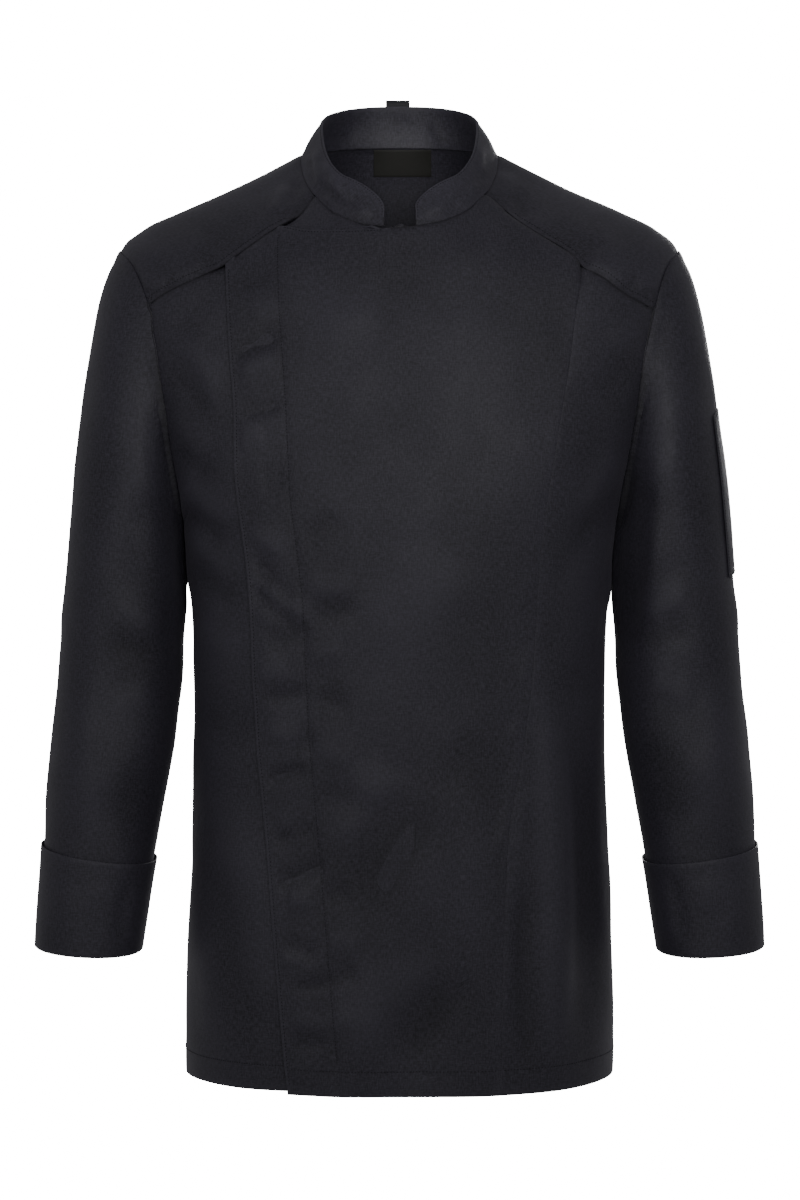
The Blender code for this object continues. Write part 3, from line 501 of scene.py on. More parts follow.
def finish_cloth(item, nodes, thickness=1.0, edge_round=0.25, material=None):
    """Gives a draped piece its thickness and rounded edges, and puts it in its node's place."""
    item.data.shade_smooth()
    item.data.materials.clear()
    item.data.materials.append(material or twill())
    wall = item.modifiers.new("thickness", 'SOLIDIFY')
    wall.thickness = thickness * MM
    wall.offset = -1.0
    wall.use_quality_normals = True
    edge = item.modifiers.new("edge", 'BEVEL')
    edge.width = edge_round * MM
    edge.segments = 2
    edge.limit_method = 'ANGLE'
    edge.angle_limit = math.radians(60)
    edge.use_clamp_overlap = True
    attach(item, "root")
    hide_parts(*nodes)
    return item


def thread():
    """Dark polyester sewing thread, a little glossier than the cloth."""
    material = bpy.data.materials.get("sewing_thread")
    if material:
        return material
    material = new_material("sewing_thread", {"Roughness": 0.6, "Specular IOR Level": 0.1})
    tree = material.node_tree
    place = add_node(tree, "TexCoord", {}).outputs["Object"]
    fleck = add_node(tree, "TexNoise", {"Scale": 900.0, "Vector": place}).outputs["Fac"]
    shade = mixed(tree, fleck, (0.0070, 0.0066, 0.0086, 1), (0.0125, 0.0119, 0.0152, 1))
    set_inputs(tree, tree.nodes["Principled BSDF"], {"Base Color": shade})
    return material


# In mm, the last as a share of the thread: how far apart the stitches lie, how long and thick they are,
# how far their middle stands out of the cloth, and how much they are pressed flat.
STITCH_PITCH, STITCH_LENGTH, THREAD, STITCH_RISE, STITCH_FLAT = 2.2, 1.5, 0.85, 0.08, 0.7
# How far a row of edge stitching lies from its edge, and the step in which a row is followed, in mm.
EDGE_INSET, PATH_STEP = 1.6, 0.5


def inward(ring, points, normals):
    """At each vertex of an edge ring: the direction in the cloth that leads away from the edge."""
    places = points[ring]
    run = np.roll(places, -1, axis=0) - np.roll(places, 1, axis=0)
    inside = np.cross(normals[ring], run)
    return inside / np.maximum(np.linalg.norm(inside, axis=1), 1e-9)[:, None]


def edge_path(item, keep, inset, inner=None):
    """The longest stretch of a piece's edge that keep(x, y, z) accepts, in mm, moved in by an inset.

    With inner, only the edges whose cloth lies to that side of them."""
    points, normals = points_of(item.data)
    best = []
    for ring in borders(item.data):
        inside = inward(ring, points, normals)
        moved = points[ring] + inside * (inset * MM)
        kept = [bool(keep(*(points[number] / MM))) for number in ring]
        if inner:
            kept = [good and way @ np.array(inner, dtype=float) > 0.8 for good, way in zip(kept, inside)]
        start = kept.index(False) if False in kept else 0
        run = []
        for i in range(len(ring) + 1):
            k = (start + i) % len(ring)
            if kept[k] and i < len(ring):
                run.append(Vector(moved[k]))
            else:
                if len(run) > len(best):
                    best = run
                run = []
        if all(kept):
            best = [Vector(place) for place in moved] + [Vector(moved[0])]
    return best


def sew(name, item, paths, facing=None):
    """A row of lockstitches along each path, half sunk in the cloth of an item."""
    cloth = BVHTree.FromObject(item, bpy.context.evaluated_depsgraph_get())
    bm = bmesh.new()
    for path in paths:
        places = []
        for first, second in zip(path, path[1:]):
            steps = max(1, int((second - first).length / (PATH_STEP * MM)))
            for i in range(steps):
                place = first.lerp(second, i / steps)
                if facing is None:
                    hit = cloth.find_nearest(place, 0.02)
                else:
                    hit = cloth.ray_cast(place, Vector(facing))
                if hit[0] is not None:
                    places.append((hit[0], hit[1]))
        gone = 0.0
        for (place, out), (after, _) in zip(places, places[1:]):
            gone += (after - place).length
            if gone < STITCH_PITCH * MM or (after - place).length < 1e-7:
                continue
            gone = 0.0
            along = (after - place).normalized()
            across = out.cross(along).normalized()
            turn = Matrix((along, across, along.cross(across))).transposed().to_4x4()
            shape = Matrix.Diagonal((STITCH_LENGTH / THREAD, 1.0, STITCH_FLAT, 1.0))
            spot = Matrix.Translation(place + out * (STITCH_RISE * MM))
            bmesh.ops.create_uvsphere(bm, u_segments=5, v_segments=3, radius=THREAD / 2 * MM,
                                      matrix=spot @ turn @ shape)
    row = make_item(name, bm)
    row.data.shade_smooth()
    row.data.materials.append(thread())
    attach(row, "root")
    return row


def hem_path(item):
    """The row of stitching that holds the turned-up hem."""
    return edge_path(item, lambda x, y, z: z < HEM_EDGE, HEM_TURN, (0, 0, 1))


# How often an edge's corners are evened out.
RELAX_PASSES = 36


def relax_edge(item, keep):
    """Rounds off the corners of a piece's edge where keep(x, y, z), in mm, accepts them."""
    mesh = item.data
    points = points_of(mesh)[0]
    numbers, moves = [], []
    for ring in borders(mesh):
        places = points[ring].copy()
        kept = np.array([keep(*(place / MM)) for place in places], dtype=float)[:, None]
        for _ in range(RELAX_PASSES):
            between = (np.roll(places, 1, axis=0) + np.roll(places, -1, axis=0)) / 2
            places += 0.5 * kept * (between - places)
        numbers += ring
        moves += list(places - points[ring])
    spread(points, numbers, np.array(moves))
    move_to(mesh, points)


def cloth_piece(name, node, folds, sewn_to=(), sewn_side=None, relaxed=None, narrowest=0.0,
                slivers=0.0, **looks):
    """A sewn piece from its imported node: cut flat, rounded, joined to its neighbours and draped."""
    item = make_item(name, outer_skin(node, narrowest, slivers))
    cut_flat(item, sewn_side)
    refine(item)
    if relaxed:
        relax_edge(item, relaxed)
    if sewn_to:
        join_edges(item, sewn_to)
    drape(item, folds, **looks)
    return item


RIGHT_FRONT_FOLDS = (
    (-190, -132, -143, -172, 4, 8, -1.9, 1.6),
    (-181, -150, -144, -200, 5, 8, 1.5, 1.8),
    (-188, -176, -150, -222, 5, 7, -1.8, 1.4),
    (-160, -122, -139, -226, -5, 10, 1.9, 1.5),
    (-181, -205, -160, -262, 4, 8, 1.5, 1.6),
    (-183, -238, -150, -272, 4, 7, -2.2, 1.5),
    (-179, -258, -126, -300, -6, 9, 2.4, 1.6),
    (-176, -280, -132, -318, -5, 7, -2.6, 1.4),
    (-171, -300, -124, -342, -7, 9, 2.2, 1.8),
    (-169, -328, -121, -364, -6, 9, -2.0, 1.5),
    (-164, -372, -118, -400, -8, 12, 1.7, 1.5),
    (-162, -440, -112, -470, -8, 14, -1.6, 1.5),
    (-150, -505, -112, -700, 8, 14, 2.0, 1.5),
    (-134, -560, -122, -735, -6, 13, -1.8, 1.4),
    (-160, -600, -150, -738, 3, 10, 1.3, 1.4),
)
RIGHT_SIDE_FOLDS = (
    (-44, -318, -6, -352, -5, 9, 1.6, 1.5),
    (-60, -368, -4, -398, 6, 12, -1.6, 1.4),
    (-40, -452, -18, -600, 5, 14, 1.5, 1.5),
    (-14, -520, -22, -735, -4, 13, -1.6, 1.4),
)
# The hem's row of stitching as (x, z), for the puckers that cross it.
HEM_LINE = ((-168, -728), (-90, -731), (0, -732), (80, -731), (168, -727))


def at_neck(points):
    """True along the seam that the collar is set in."""
    return (np.abs(points[:, 0]) < 84) & (points[:, 2] > -80)


def under_yoke(points):
    """The fronts and the back run in under the yoke's edge and the collar's, which stand proud of them."""
    across, height = np.abs(points[:, 0]), points[:, 2]
    neck = np.where(at_neck(points), 0.8, 0.15)
    seam = np.where(points[:, 1] > 0, -124, np.interp(across, (84, 145, 203), (-56, -100, -134)))
    return neck + (1.4 - neck) * smoothstep((height - seam + 12) / 8) * ((across > 84) & (across < 200))


right_front = cloth_piece("right_front", "front_under", {
    "front": RIGHT_FRONT_FOLDS + tuple(puckers(HEM_LINE, 15, 8, 4.0, 0.45, 11)),
    "right": RIGHT_SIDE_FOLDS}, slivers=0.0015, dip=under_yoke)
# At the throat it lies a cloth's thickness behind the front that laps over it, and a little lower, in mm.
THROAT_BACK, THROAT_DROP = 1.5, 2.2
places = points_of(right_front.data)[0]
x_mm, z_mm = places[:, 0] / MM, places[:, 2] / MM
behind = smoothstep((34 - np.abs(x_mm + 6)) / 12) * smoothstep((z_mm + 90) / 16) * (places[:, 1] < 0)
places[:, 1] += THROAT_BACK * MM * behind
places[:, 2] -= THROAT_DROP * MM * behind * smoothstep((x_mm + 24) / 10)
move_to(right_front.data, places)
sew("right_front_stitching", right_front, [hem_path(right_front)])
finish_cloth(right_front, ["front_under"])


# ------------ overlapping centre front
# The wide front laps over the right one. Its concealed placket, 42 mm wide, is stitched down along a
# second row; the press studs are hidden inside it. The cloth puckers between the two rows.

# The placket's edge from top to hem, as (x, z).
PLACKET_EDGE = ((-139, -93), (-137, -135), (-132, -200), (-128, -280), (-118, -360), (-113, -470),
                (-104, -570), (-95, -680), (-88, -751))
PLACKET_WIDTH = 42
# The folds across the placket, from the top down. Most climb towards the second row, some fall from it.
# columns: height, rise towards the second row, share of the width it starts and ends at, half width,
# height out of the cloth
PLACKET_FOLDS = (
    (-112, 14, 0.1, 1.0, 8, -1.2), (-140, 10, 0.4, 1.1, 9, 1.2), (-168, 20, -0.1, 1.0, 7, -2.4),
    (-186, 18, 0.1, 0.9, 10, 1.7), (-216, 12, 0.1, 1.0, 5, -1.8), (-238, 14, 0.0, 0.6, 10, 1.4),
    (-268, 5, 0.4, 1.0, 9, -1.2), (-306, -26, 0.0, 0.9, 7, 1.6), (-321, -44, 0.1, 1.1, 5, -2.3),
    (-336, -40, 0.2, 1.2, 6, 1.8), (-352, -34, -0.1, 0.9, 6, -2.1), (-366, -22, 0.0, 0.7, 7, 1.5),
    (-398, 12, 0.2, 1.2, 8, -1.5), (-424, 8, 0.0, 0.7, 8, 1.2), (-441, 9, 0.1, 1.1, 5, -1.7),
    (-463, -15, 0.1, 0.9, 6, 1.1), (-482, 10, 0.5, 1.2, 7, -1.1), (-508, 12, 0.0, 1.0, 5, -1.8),
    (-530, -18, 0.2, 0.9, 7, 1.3), (-556, 15, 0.1, 1.0, 6, -1.5), (-588, 17, 0.0, 1.2, 6, -1.8),
    (-604, 6, 0.3, 0.8, 7, 1.2), (-628, -16, 0.1, 0.9, 6, -1.4), (-650, 12, 0.0, 0.7, 6, 1.1),
    (-668, 8, 0.2, 1.1, 5, -1.4), (-692, -10, 0.1, 1.0, 6, 1.0), (-712, 8, 0.1, 0.9, 6, -1.2),
)
# Beside the second row of stitching, and the broad soft drape over the belly.
OVERLAP_FOLDS = (
    (-76, -322, -40, -300, 5, 8, -1.6, 1.6),
    (-77, -345, -32, -352, -5, 8, 1.7, 1.6),
    (-75, -372, -28, -366, -4, 8, -1.8, 1.5),
    (-71, -412, -42, -400, 3, 7, 1.3, 1.5),
    (-69, -436, -38, -452, 3, 7, -1.5, 1.4),
    (-67, -470, -32, -488, -4, 9, 1.4, 1.7),
    (-65, -505, -30, -520, -5, 9, -1.6, 1.6),
    (-61, -548, -16, -516, 6, 11, -1.8, 1.7),
    (-61, -600, -36, -592, 3, 8, -1.4, 1.5),
    (-59, -628, -30, -640, 3, 9, 1.4, 1.5),
    (-58, -665, -28, -655, 3, 8, -1.5, 1.4),
    (-56, -700, -34, -690, 3, 7, 1.2, 1.4),
    (-50, -566, 2, -492, 10, 15, 2.6, 1.6),
    (-22, -620, 42, -520, 12, 18, -2.0, 1.5),
    (-36, -730, 34, -640, 12, 15, 2.6, 1.7),
    (8, -738, 62, -655, 10, 14, -2.2, 1.5),
    (-4, -420, 62, -330, 14, 24, 1.6, 1.4),
    (28, -300, 100, -208, 12, 24, -1.4, 1.4),
    (-66, -150, -8, -134, 6, 18, 1.2, 1.4),
    (30, -470, 84, -560, 8, 22, -1.4, 1.5),
)
# The shaped seam between the overlapping front and the left side front, as (x, z).
SIDE_FRONT_SEAM = ((145, -96), (138, -150), (128, -215), (118, -275), (111, -330), (106, -400), (97, -480),
                   (86, -545), (81, -640), (78, -751))
SIDE_FRONT_PUCKERS = (tuple(puckers(SIDE_FRONT_SEAM[:5], 22, 9, 5, 0.45, 5))
                      + tuple(puckers(SIDE_FRONT_SEAM[4:], 15, 15, 5, 0.85, 6)))


def line_at(line, z):
    """How far across a line, a table of (x, z) from the top down, passes at a height."""
    return np.interp(-z, [-low for _, low in line], [left for left, _ in line])


def placket_x(z):
    return float(line_at(PLACKET_EDGE, z))


def flat_seam(points):
    """0.6 near the seam to the side front, which lies between a turned edge and a sewn one; 0 elsewhere."""
    x, y, z = points.T
    near = (np.abs(x - line_at(SIDE_FRONT_SEAM, z)) < 6) & (y < 0) & (z < -99)
    return np.where(near, 0.6, 0.0)


def bare_edge(points):
    """1 near the overlap's own turned edges: the placket, the top from it to the throat, and the hem."""
    x, z = points[:, 0], points[:, 2]
    side = np.abs(x - line_at(PLACKET_EDGE, z)) < 8
    top = (x > -97) & (x < -8) & (z > -74)
    return np.where(side | top | (z < HEM_EDGE), 1.0, flat_seam(points))


def overlap_dip(points):
    """The placket's edge stands a little proud, and the top edge sinks in towards the throat."""
    turned = (bare_edge(points) == 1) & (points[:, 0] < -30)
    return np.where(turned, np.interp(points[:, 0], (-42, -30), (-0.2, 0.8)), under_yoke(points))


def placket_channel(points):
    """The channel of the second row, and the slight fullness of the doubled placket beside it."""
    away = points[:, 0] - line_at(PLACKET_EDGE, points[:, 2]) - PLACKET_WIDTH
    return 0.35 * np.exp(-((away + 20) / 14) ** 2) - 0.55 * np.exp(-(away / 2.4) ** 2)


def placket_fold(k, z, rise, start, end, width, out):
    left = placket_x(z)
    sag = 3.0 if k % 2 else -2.0
    return (left + PLACKET_WIDTH * start, z + rise * start, left + PLACKET_WIDTH * end, z + rise * end,
            sag, width, 1.35 * out, 1.5)


def front_path(rows):
    """A path in front of the jacket, from a table of (x, z)."""
    return [Vector((x * MM, -0.4, z * MM)) for x, z in rows]


overlap = cloth_piece("overlapping_front", "front_flap", {
    "front": (OVERLAP_FOLDS + SIDE_FRONT_PUCKERS
              + tuple(placket_fold(k, *row) for k, row in enumerate(PLACKET_FOLDS))
              + tuple(puckers(HEM_LINE, 14, 8, 4.0, 0.45, 12)))},
    relaxed=lambda x, y, z: abs(x) < 26 and y < 0 and z > -76, free=bare_edge, extra=placket_channel,
    dip=overlap_dip)
sew("overlap_stitching", overlap,
    [edge_path(overlap, lambda x, y, z: abs(x - placket_x(z)) < 5 and -744 < z < -96, 2.6),
     edge_path(overlap, lambda x, y, z: -94 < x < -12 and z > -75 and y < 0, EDGE_INSET),
     hem_path(overlap)])
sew("placket_stitching", overlap,
    [front_path([(placket_x(z) + PLACKET_WIDTH, z) for z in range(-68, -730, -8)])], facing=(0, 1, 0))
finish_cloth(overlap, ["front_flap"])


# ------------ wearer's left side front
# A long side panel in the same twill, joined to the overlapping front by a shaped seam that puckers
# a little all the way down, and most below the waist.

LEFT_FRONT_FOLDS = (
    (114, -420, 123, -742, 5, 11, 5.8, 1.2),
    (140, -450, 145, -738, 5, 11, -4.0, 1.4),
    (98, -560, 103, -744, -3, 8, -3.2, 1.4),
    (180, -236, 148, -300, -6, 9, 1.8, 1.5),
    (179, -268, 138, -330, -6, 8, -2.0, 1.5),
    (173, -298, 130, -372, -8, 10, 1.8, 1.7),
    (192, -165, 158, -205, -5, 9, -1.6, 1.5),
    (160, -380, 134, -440, 5, 12, -1.4, 1.5),
    (196, -140, 168, -160, -3, 9, 1.3, 1.4),
)
LEFT_SIDE_FOLDS = (
    (-48, -330, -4, -362, -5, 10, 1.7, 1.5),
    (-62, -380, -2, -404, 6, 12, -1.6, 1.5),
    (-34, -470, -22, -640, 5, 14, 1.6, 1.5),
    (-10, -540, -16, -735, 4, 12, -1.5, 1.5),
)
left_front = cloth_piece("left_side_front", "front_side_left", {
    "front": LEFT_FRONT_FOLDS + SIDE_FRONT_PUCKERS + tuple(puckers(HEM_LINE, 14, 8, 4.0, 0.45, 13)),
    "left": LEFT_SIDE_FOLDS}, sewn_to=[overlap], dip=under_yoke,
    free=lambda points: np.maximum(bare_hem(points), flat_seam(points)))
sew("left_side_front_stitching", left_front, [hem_path(left_front)])
finish_cloth(left_front, ["front_side_left"])


# ------------ back
# One plain piece below the yoke, from side seam to side seam, in soft hanging folds. Its hem is turned
# up and stitched like those of the fronts.

BACK_FOLDS = (
    (-182, -176, -120, -224, -8, 10, -2.3, 1.5),
    (-178, -214, -112, -262, -9, 11, 2.3, 1.6),
    (-176, -252, -118, -300, -8, 9, -2.2, 1.4),
    (-172, -292, -122, -348, -7, 11, 2.0, 1.6),
    (181, -182, 124, -236, 8, 10, -2.3, 1.5),
    (178, -224, 110, -270, 9, 12, 2.3, 1.5),
    (176, -262, 122, -318, 8, 9, -2.0, 1.5),
    (170, -305, 118, -356, 7, 11, 1.9, 1.6),
    (-30, -180, -66, -318, 10, 20, 2.0, 1.5),
    (34, -190, 62, -338, -9, 20, 1.9, 1.4),
    (0, -260, -8, -420, 5, 20, -2.1, 1.4),
    (-90, -420, -104, -715, 6, 16, 2.8, 1.5),
    (-58, -470, -46, -720, -5, 13, -2.3, 1.5),
    (86, -400, 100, -700, -6, 16, 2.7, 1.6),
    (46, -500, 38, -725, 5, 13, -2.1, 1.4),
    (-8, -520, 4, -735, 4, 15, 2.3, 1.6),
    (-136, -430, -140, -690, 4, 12, -1.9, 1.4),
    (136, -450, 142, -700, -4, 12, -1.8, 1.5),
    (-150, -392, -96, -452, 8, 12, 1.8, 1.5),
    (152, -410, 92, -470, -8, 13, 1.8, 1.6),
    (-70, -352, -20, -392, -7, 13, -1.5, 1.5),
    (70, -372, 22, -416, 7, 12, -1.5, 1.4),
)
BACK_SIDE_FOLDS = (
    (6, -330, 52, -362, 5, 10, 1.7, 1.5),
    (4, -378, 60, -400, -6, 12, -1.6, 1.4),
    (26, -450, 30, -640, -5, 14, 1.7, 1.5),
    (50, -520, 52, -735, 4, 13, -1.6, 1.5),
)
YOKE_BACK_SEAM = ((-203, -132), (-150, -121), (-80, -112), (0, -108), (80, -112), (150, -121), (203, -132))
back = cloth_piece("back_panel", "back", {
    "back": (BACK_FOLDS + tuple(puckers(HEM_LINE, 15, 8, 4.0, 0.45, 14))
             + tuple(puckers(YOKE_BACK_SEAM, 17, 10, 5, 0.5, 15))),
    "left": BACK_SIDE_FOLDS, "right": [(y0, z0 - 9, y1, z1 - 5, sag, width, rise * 0.9, skew)
                                       for y0, z0, y1, z1, sag, width, rise, skew in BACK_SIDE_FOLDS]},
    sewn_to=[right_front, left_front], dip=under_yoke)
sew("back_stitching", back, [hem_path(back)])
finish_cloth(back, ["back"])


# ------------ yoke
# One piece over both shoulders, from the slanted front seams to the seam across the back. The seam
# allowances are pressed up into it and top-stitched.

TOPSTITCH_INSET = 5.5
YOKE_FRONT_FOLDS = (
    (-92, -22, -104, -52, 3, 6, 1.9, 1.5),
    (-84, -18, -92, -44, 3, 5, -1.6, 1.5),
    (94, -24, 104, -58, -3, 6, -1.8, 1.5),
    (88, -10, 94, -40, -3, 6, 1.5, 1.5),
    (-186, -104, -150, -66, 5, 14, 1.2, 1.5),
    (188, -104, 150, -68, -5, 14, 1.1, 1.5),
    (-150, -90, -116, -50, 4, 12, -1.0, 1.5),
    (150, -92, 118, -54, -4, 12, -1.0, 1.5),
    (143, -97, 166, -71, 1, 4, -1.8, 1.6),
    (176, -118, 195, -106, 1, 4, -1.4, 1.5),
    (-146, -99, -160, -78, -1, 4, -1.3, 1.5),
    (-176, -116, -190, -104, -1, 4, -1.2, 1.4),
)
YOKE_BACK_FOLDS = (
    (-40, -30, -120, -96, 10, 20, 1.5, 1.5),
    (44, -30, 118, -98, -10, 20, 1.4, 1.5),
    (-10, -40, 8, -100, 4, 18, -1.3, 1.5),
    (-190, -118, -140, -70, 6, 14, 1.2, 1.5),
    (190, -120, 142, -72, -6, 14, 1.2, 1.5),
)


def sleeve_head_ease(points):
    """The fullness that rises towards the head of each sleeve."""
    return 1.3 * np.exp(-((np.abs(points[:, 0]) - 204) / 14) ** 2) * (points[:, 2] > -112)


def yoke_dip(points):
    """It sinks in under the collar, and stands proud of what it is sewn to elsewhere."""
    return np.where(at_neck(points), 0.8, np.where(np.abs(points[:, 0]) < 201, -0.4, -0.2))


yoke = cloth_piece("shoulder_yoke", "yoke", {
    "front": YOKE_FRONT_FOLDS,
    "back": YOKE_BACK_FOLDS + tuple(puckers(YOKE_BACK_SEAM, 17, 10, 5, 0.45, 16))},
    sewn_to=[right_front, overlap, left_front, back], calm=6.0, extra=sleeve_head_ease, dip=yoke_dip)
sew("yoke_stitching", yoke,
    [edge_path(yoke, lambda x, y, z: -204 < x < -87 and y < -50, TOPSTITCH_INSET),
     edge_path(yoke, lambda x, y, z: 87 < x < 204 and y < -50, TOPSTITCH_INSET),
     edge_path(yoke, lambda x, y, z: abs(x) < 198 and y > 55 and z < -95, TOPSTITCH_INSET)])
finish_cloth(yoke, ["yoke"])


# ------------ collar
# A doubled stand collar with rounded front ends, edge-stitched along its top and those ends. It wrinkles
# a little where it turns to the front.

COLLAR_FOLDS = (
    (-66, -20, -40, -44, -3, 3.6, -2.2, 1.4),
    (-50, -36, -30, -45, -2, 3.4, -1.4, 1.4),
    (-60, -2, -44, -34, -2, 5, 1.5, 1.4),
    (-60, -34, -47, -48, -2, 3.2, 1.3, 1.4),
    (-56, -20, -37, -42, -3, 4, 1.9, 1.5),
    (-67, 8, -65, -26, -1, 4, 1.4, 1.3),
    (-73, 0, -69, -28, 1, 3.5, -1.0, 1.4),
    (-50, -30, -30, -40, -2, 4, -0.8, 1.5),
    (-36, -50, -22, -54, 1, 3.5, 0.9, 1.4),
    (-42, -28, -24, -36, 2, 4, 0.7, 1.4),
    (62, -20, 44, -48, 3, 4, 1.2, 1.5),
    (54, -28, 34, -54, 3, 4, -1.2, 1.5),
    (72, 8, 62, -28, 3, 4, -1.1, 1.5),
    (66, 10, 68, -20, -1, 4, 1.0, 1.4),
    (40, -44, 20, -52, -1, 4, 0.8, 1.4),
)
COLLAR_BACK_FOLDS = (
    (-40, 44, -48, 18, 2, 5, 0.7, 1.5),
    (30, 46, 38, 18, -2, 5, -0.7, 1.5),
    (4, 46, 0, 20, 1, 6, 0.5, 1.5),
)


def above_neck_seam(points):
    """1 along the collar's top edge and front ends, 0 along the seam that sets it to the neck."""
    seam = np.interp(points[:, 1], (-83, 68), (-64, 15))
    return smoothstep((points[:, 2] - seam - 5) / 4)


collar = cloth_piece("stand_collar", "collar", {"front": COLLAR_FOLDS, "back": COLLAR_BACK_FOLDS},
                     sewn_to=[yoke, right_front, overlap, left_front], dip=-0.35, free=above_neck_seam,
                     softness=0.3, calm=4.0, relaxed=lambda x, y, z: abs(x) < 42 and y < -55 and z > -56)
sew("collar_stitching", collar,
    [edge_path(collar, lambda x, y, z: above_neck_seam(np.array([[x, y, z]]))[0] > 0.5, EDGE_INSET)])
finish_cloth(collar, ["collar"], thickness=1.5, edge_round=0.5)


# ------------ sleeves
# Set-in sleeves, each one piece with its seam under the arm. They crease below the armhole and inside
# the elbow, and rest against the body just below the armpit.

SLEEVE_FRONT_FOLDS = (
    (190, -262, 216, -332, 6, 11, -1.1, 1.5),
    (204, -176, 224, -290, -8, 15, 2.0, 1.6),
    (177, -338, 186, -386, 3, 6, -1.7, 1.4),
    (184, -372, 234, -350, -5, 10, 1.9, 1.5),
    (188, -400, 242, -390, 5, 11, -2.0, 1.4),
    (192, -428, 238, -446, 5, 10, 1.8, 1.6),
    (200, -466, 215, -560, 6, 12, -1.6, 1.5),
    (258, -416, 268, -545, -5, 14, 1.8, 1.5),
    (236, -476, 240, -562, 4, 12, 1.4, 1.5),
    (240, -200, 252, -330, -5, 14, -1.4, 1.5),
)
# The left sleeve falls back from the body below the armpit.
LEFT_UNDERARM_FOLD = ((194, -240, 177, -420, 3, 12, -4.5, 1.0),)
SLEEVE_BACK_FOLDS = (
    (190, -236, 228, -330, 8, 12, 2.2, 1.5),
    (184, -296, 238, -366, 8, 12, -2.2, 1.5),
    (186, -346, 252, -398, 7, 11, 2.2, 1.5),
    (190, -390, 258, -424, -6, 11, -2.2, 1.4),
    (196, -430, 258, -454, -6, 12, 2.0, 1.5),
    (230, -476, 222, -562, 5, 14, 1.8, 1.5),
    (260, -460, 262, -560, 4, 12, -1.4, 1.5),
)
SLEEVE_OUTSIDE_FOLDS = (
    (-30, -150, -12, -290, 5, 14, 1.3, 1.5),
    (30, -160, 18, -310, -5, 14, -1.4, 1.5),
    (-44, -372, 24, -392, 6, 13, 1.3, 1.5),
    (-20, -430, -30, -560, 4, 14, 1.4, 1.5),
)


def mirrored(rows, drop=0.0, strength=1.0):
    """The same folds on the other half of the jacket, a little lower and weaker or stronger."""
    return [(-x0, z0 - drop, -x1, z1 - drop, -sag, width, rise * strength, skew)
            for x0, z0, x1, z1, sag, width, rise, skew in rows]


SLEEVE_FOLDS = {
    "right": {"front": mirrored(SLEEVE_FRONT_FOLDS, 9, 0.85), "back": mirrored(SLEEVE_BACK_FOLDS, 7, 0.9),
              "right": SLEEVE_OUTSIDE_FOLDS},
    "left": {"front": SLEEVE_FRONT_FOLDS + LEFT_UNDERARM_FOLD, "back": SLEEVE_BACK_FOLDS,
             "left": SLEEVE_OUTSIDE_FOLDS}}
TOWARD_BODY = {"right": (1.0, 0.0, 0.0), "left": (-1.0, 0.0, 0.0)}
# In mm: the gap that closes up, what is left of it, and the heights it is closed above and open below.
LEAN_REACH, LEAN_GAP, LEAN_FULL, LEAN_NONE = 6.0, 0.2, -352, -384


def lean_on(item, others, toward):
    """Lets a piece's cloth close up against the pieces beside it, down to a height."""
    mesh = item.data
    points = points_of(mesh)[0]
    graph = bpy.context.evaluated_depsgraph_get()
    for tree in [BVHTree.FromObject(other, graph) for other in others]:
        for k in range(len(points)):
            hit = tree.ray_cast(Vector(points[k]), Vector(toward), LEAN_REACH * MM)
            if hit[0] is not None:
                far = hit[3] / MM
                share = float(smoothstep((LEAN_REACH - far) / (LEAN_REACH / 2)))
                share *= float(smoothstep((points[k][2] / MM - LEAN_NONE) / (LEAN_FULL - LEAN_NONE)))
                points[k] += np.array(toward) * (max(far - LEAN_GAP, 0.0) * share * MM)
    move_to(mesh, points)


def sleeve_dip(points):
    return np.where(points[:, 2] > -125, 0.05, 0.45)


def underarm_shade(points):
    """How far the painted shade beside the armhole seam reaches, in mm: narrow over the shoulder and broad
    below the arm, where the sleeve lies in the body's shadow.
    """
    return np.interp(-points[:, 2], (150, 215, 400), (1.1, 10.0, 10.0))


# Each sleeve's colour carries painted shade beside the armhole seam, broad below the armpit.
for side, toward in TOWARD_BODY.items():
    sleeve = cloth_piece("sleeve_of_" + side, "sleeve_" + side, SLEEVE_FOLDS[side],
                         sewn_to=[yoke, right_front, left_front, back], sewn_side=toward,
                         dip=sleeve_dip, free=0.0, deep=underarm_shade)
    lean_on(sleeve, [right_front, left_front, back], toward)
    finish_cloth(sleeve, ["sleeve_" + side])


# ------------ cuffs
# Each is doubled cloth turned back over the sleeve end: it folds round the sleeve's edge and up inside.
# Its upper edge lies loose round the sleeve.

CUFF_FOLDS = (
    (207, -578, 216, -646, 3, 5, 1.2, 1.6),
    (214, -576, 226, -640, 3, 5, -1.1, 1.5),
    (236, -584, 250, -612, 3, 8, 0.8, 1.5),
    (270, -575, 262, -636, 3, 9, 0.9, 1.5),
)
# The fold under the sleeve's end, and up inside it.
# columns: inward, down
CUFF_LIP = ((0.6, 0.5), (1.6, 0.25), (1.6, -0.25), (0.6, -0.5), (0.4, -9.0))


def fold_under(item, below, steps):
    """Carries a tube's lower edge round the end of what it covers, in steps of (inward, down)."""
    bm = bmesh.new()
    bm.from_mesh(item.data)
    edges = [edge for edge in bm.edges if edge.is_boundary and edge.verts[0].co.z < below * MM]
    corners = {vert for edge in edges for vert in edge.verts}
    middle = sum((vert.co for vert in corners), Vector()) / len(corners)
    for inside, down in steps:
        made = bmesh.ops.extrude_edge_only(bm, edges=edges)["geom"]
        edges = [part for part in made if isinstance(part, bmesh.types.BMEdge)]
        for vert in [part for part in made if isinstance(part, bmesh.types.BMVert)]:
            way = (middle - vert.co) * Vector((1, 1, 0))
            vert.co += way.normalized() * (inside * MM) - Vector((0, 0, down * MM))
    bm.to_mesh(item.data)
    bm.free()


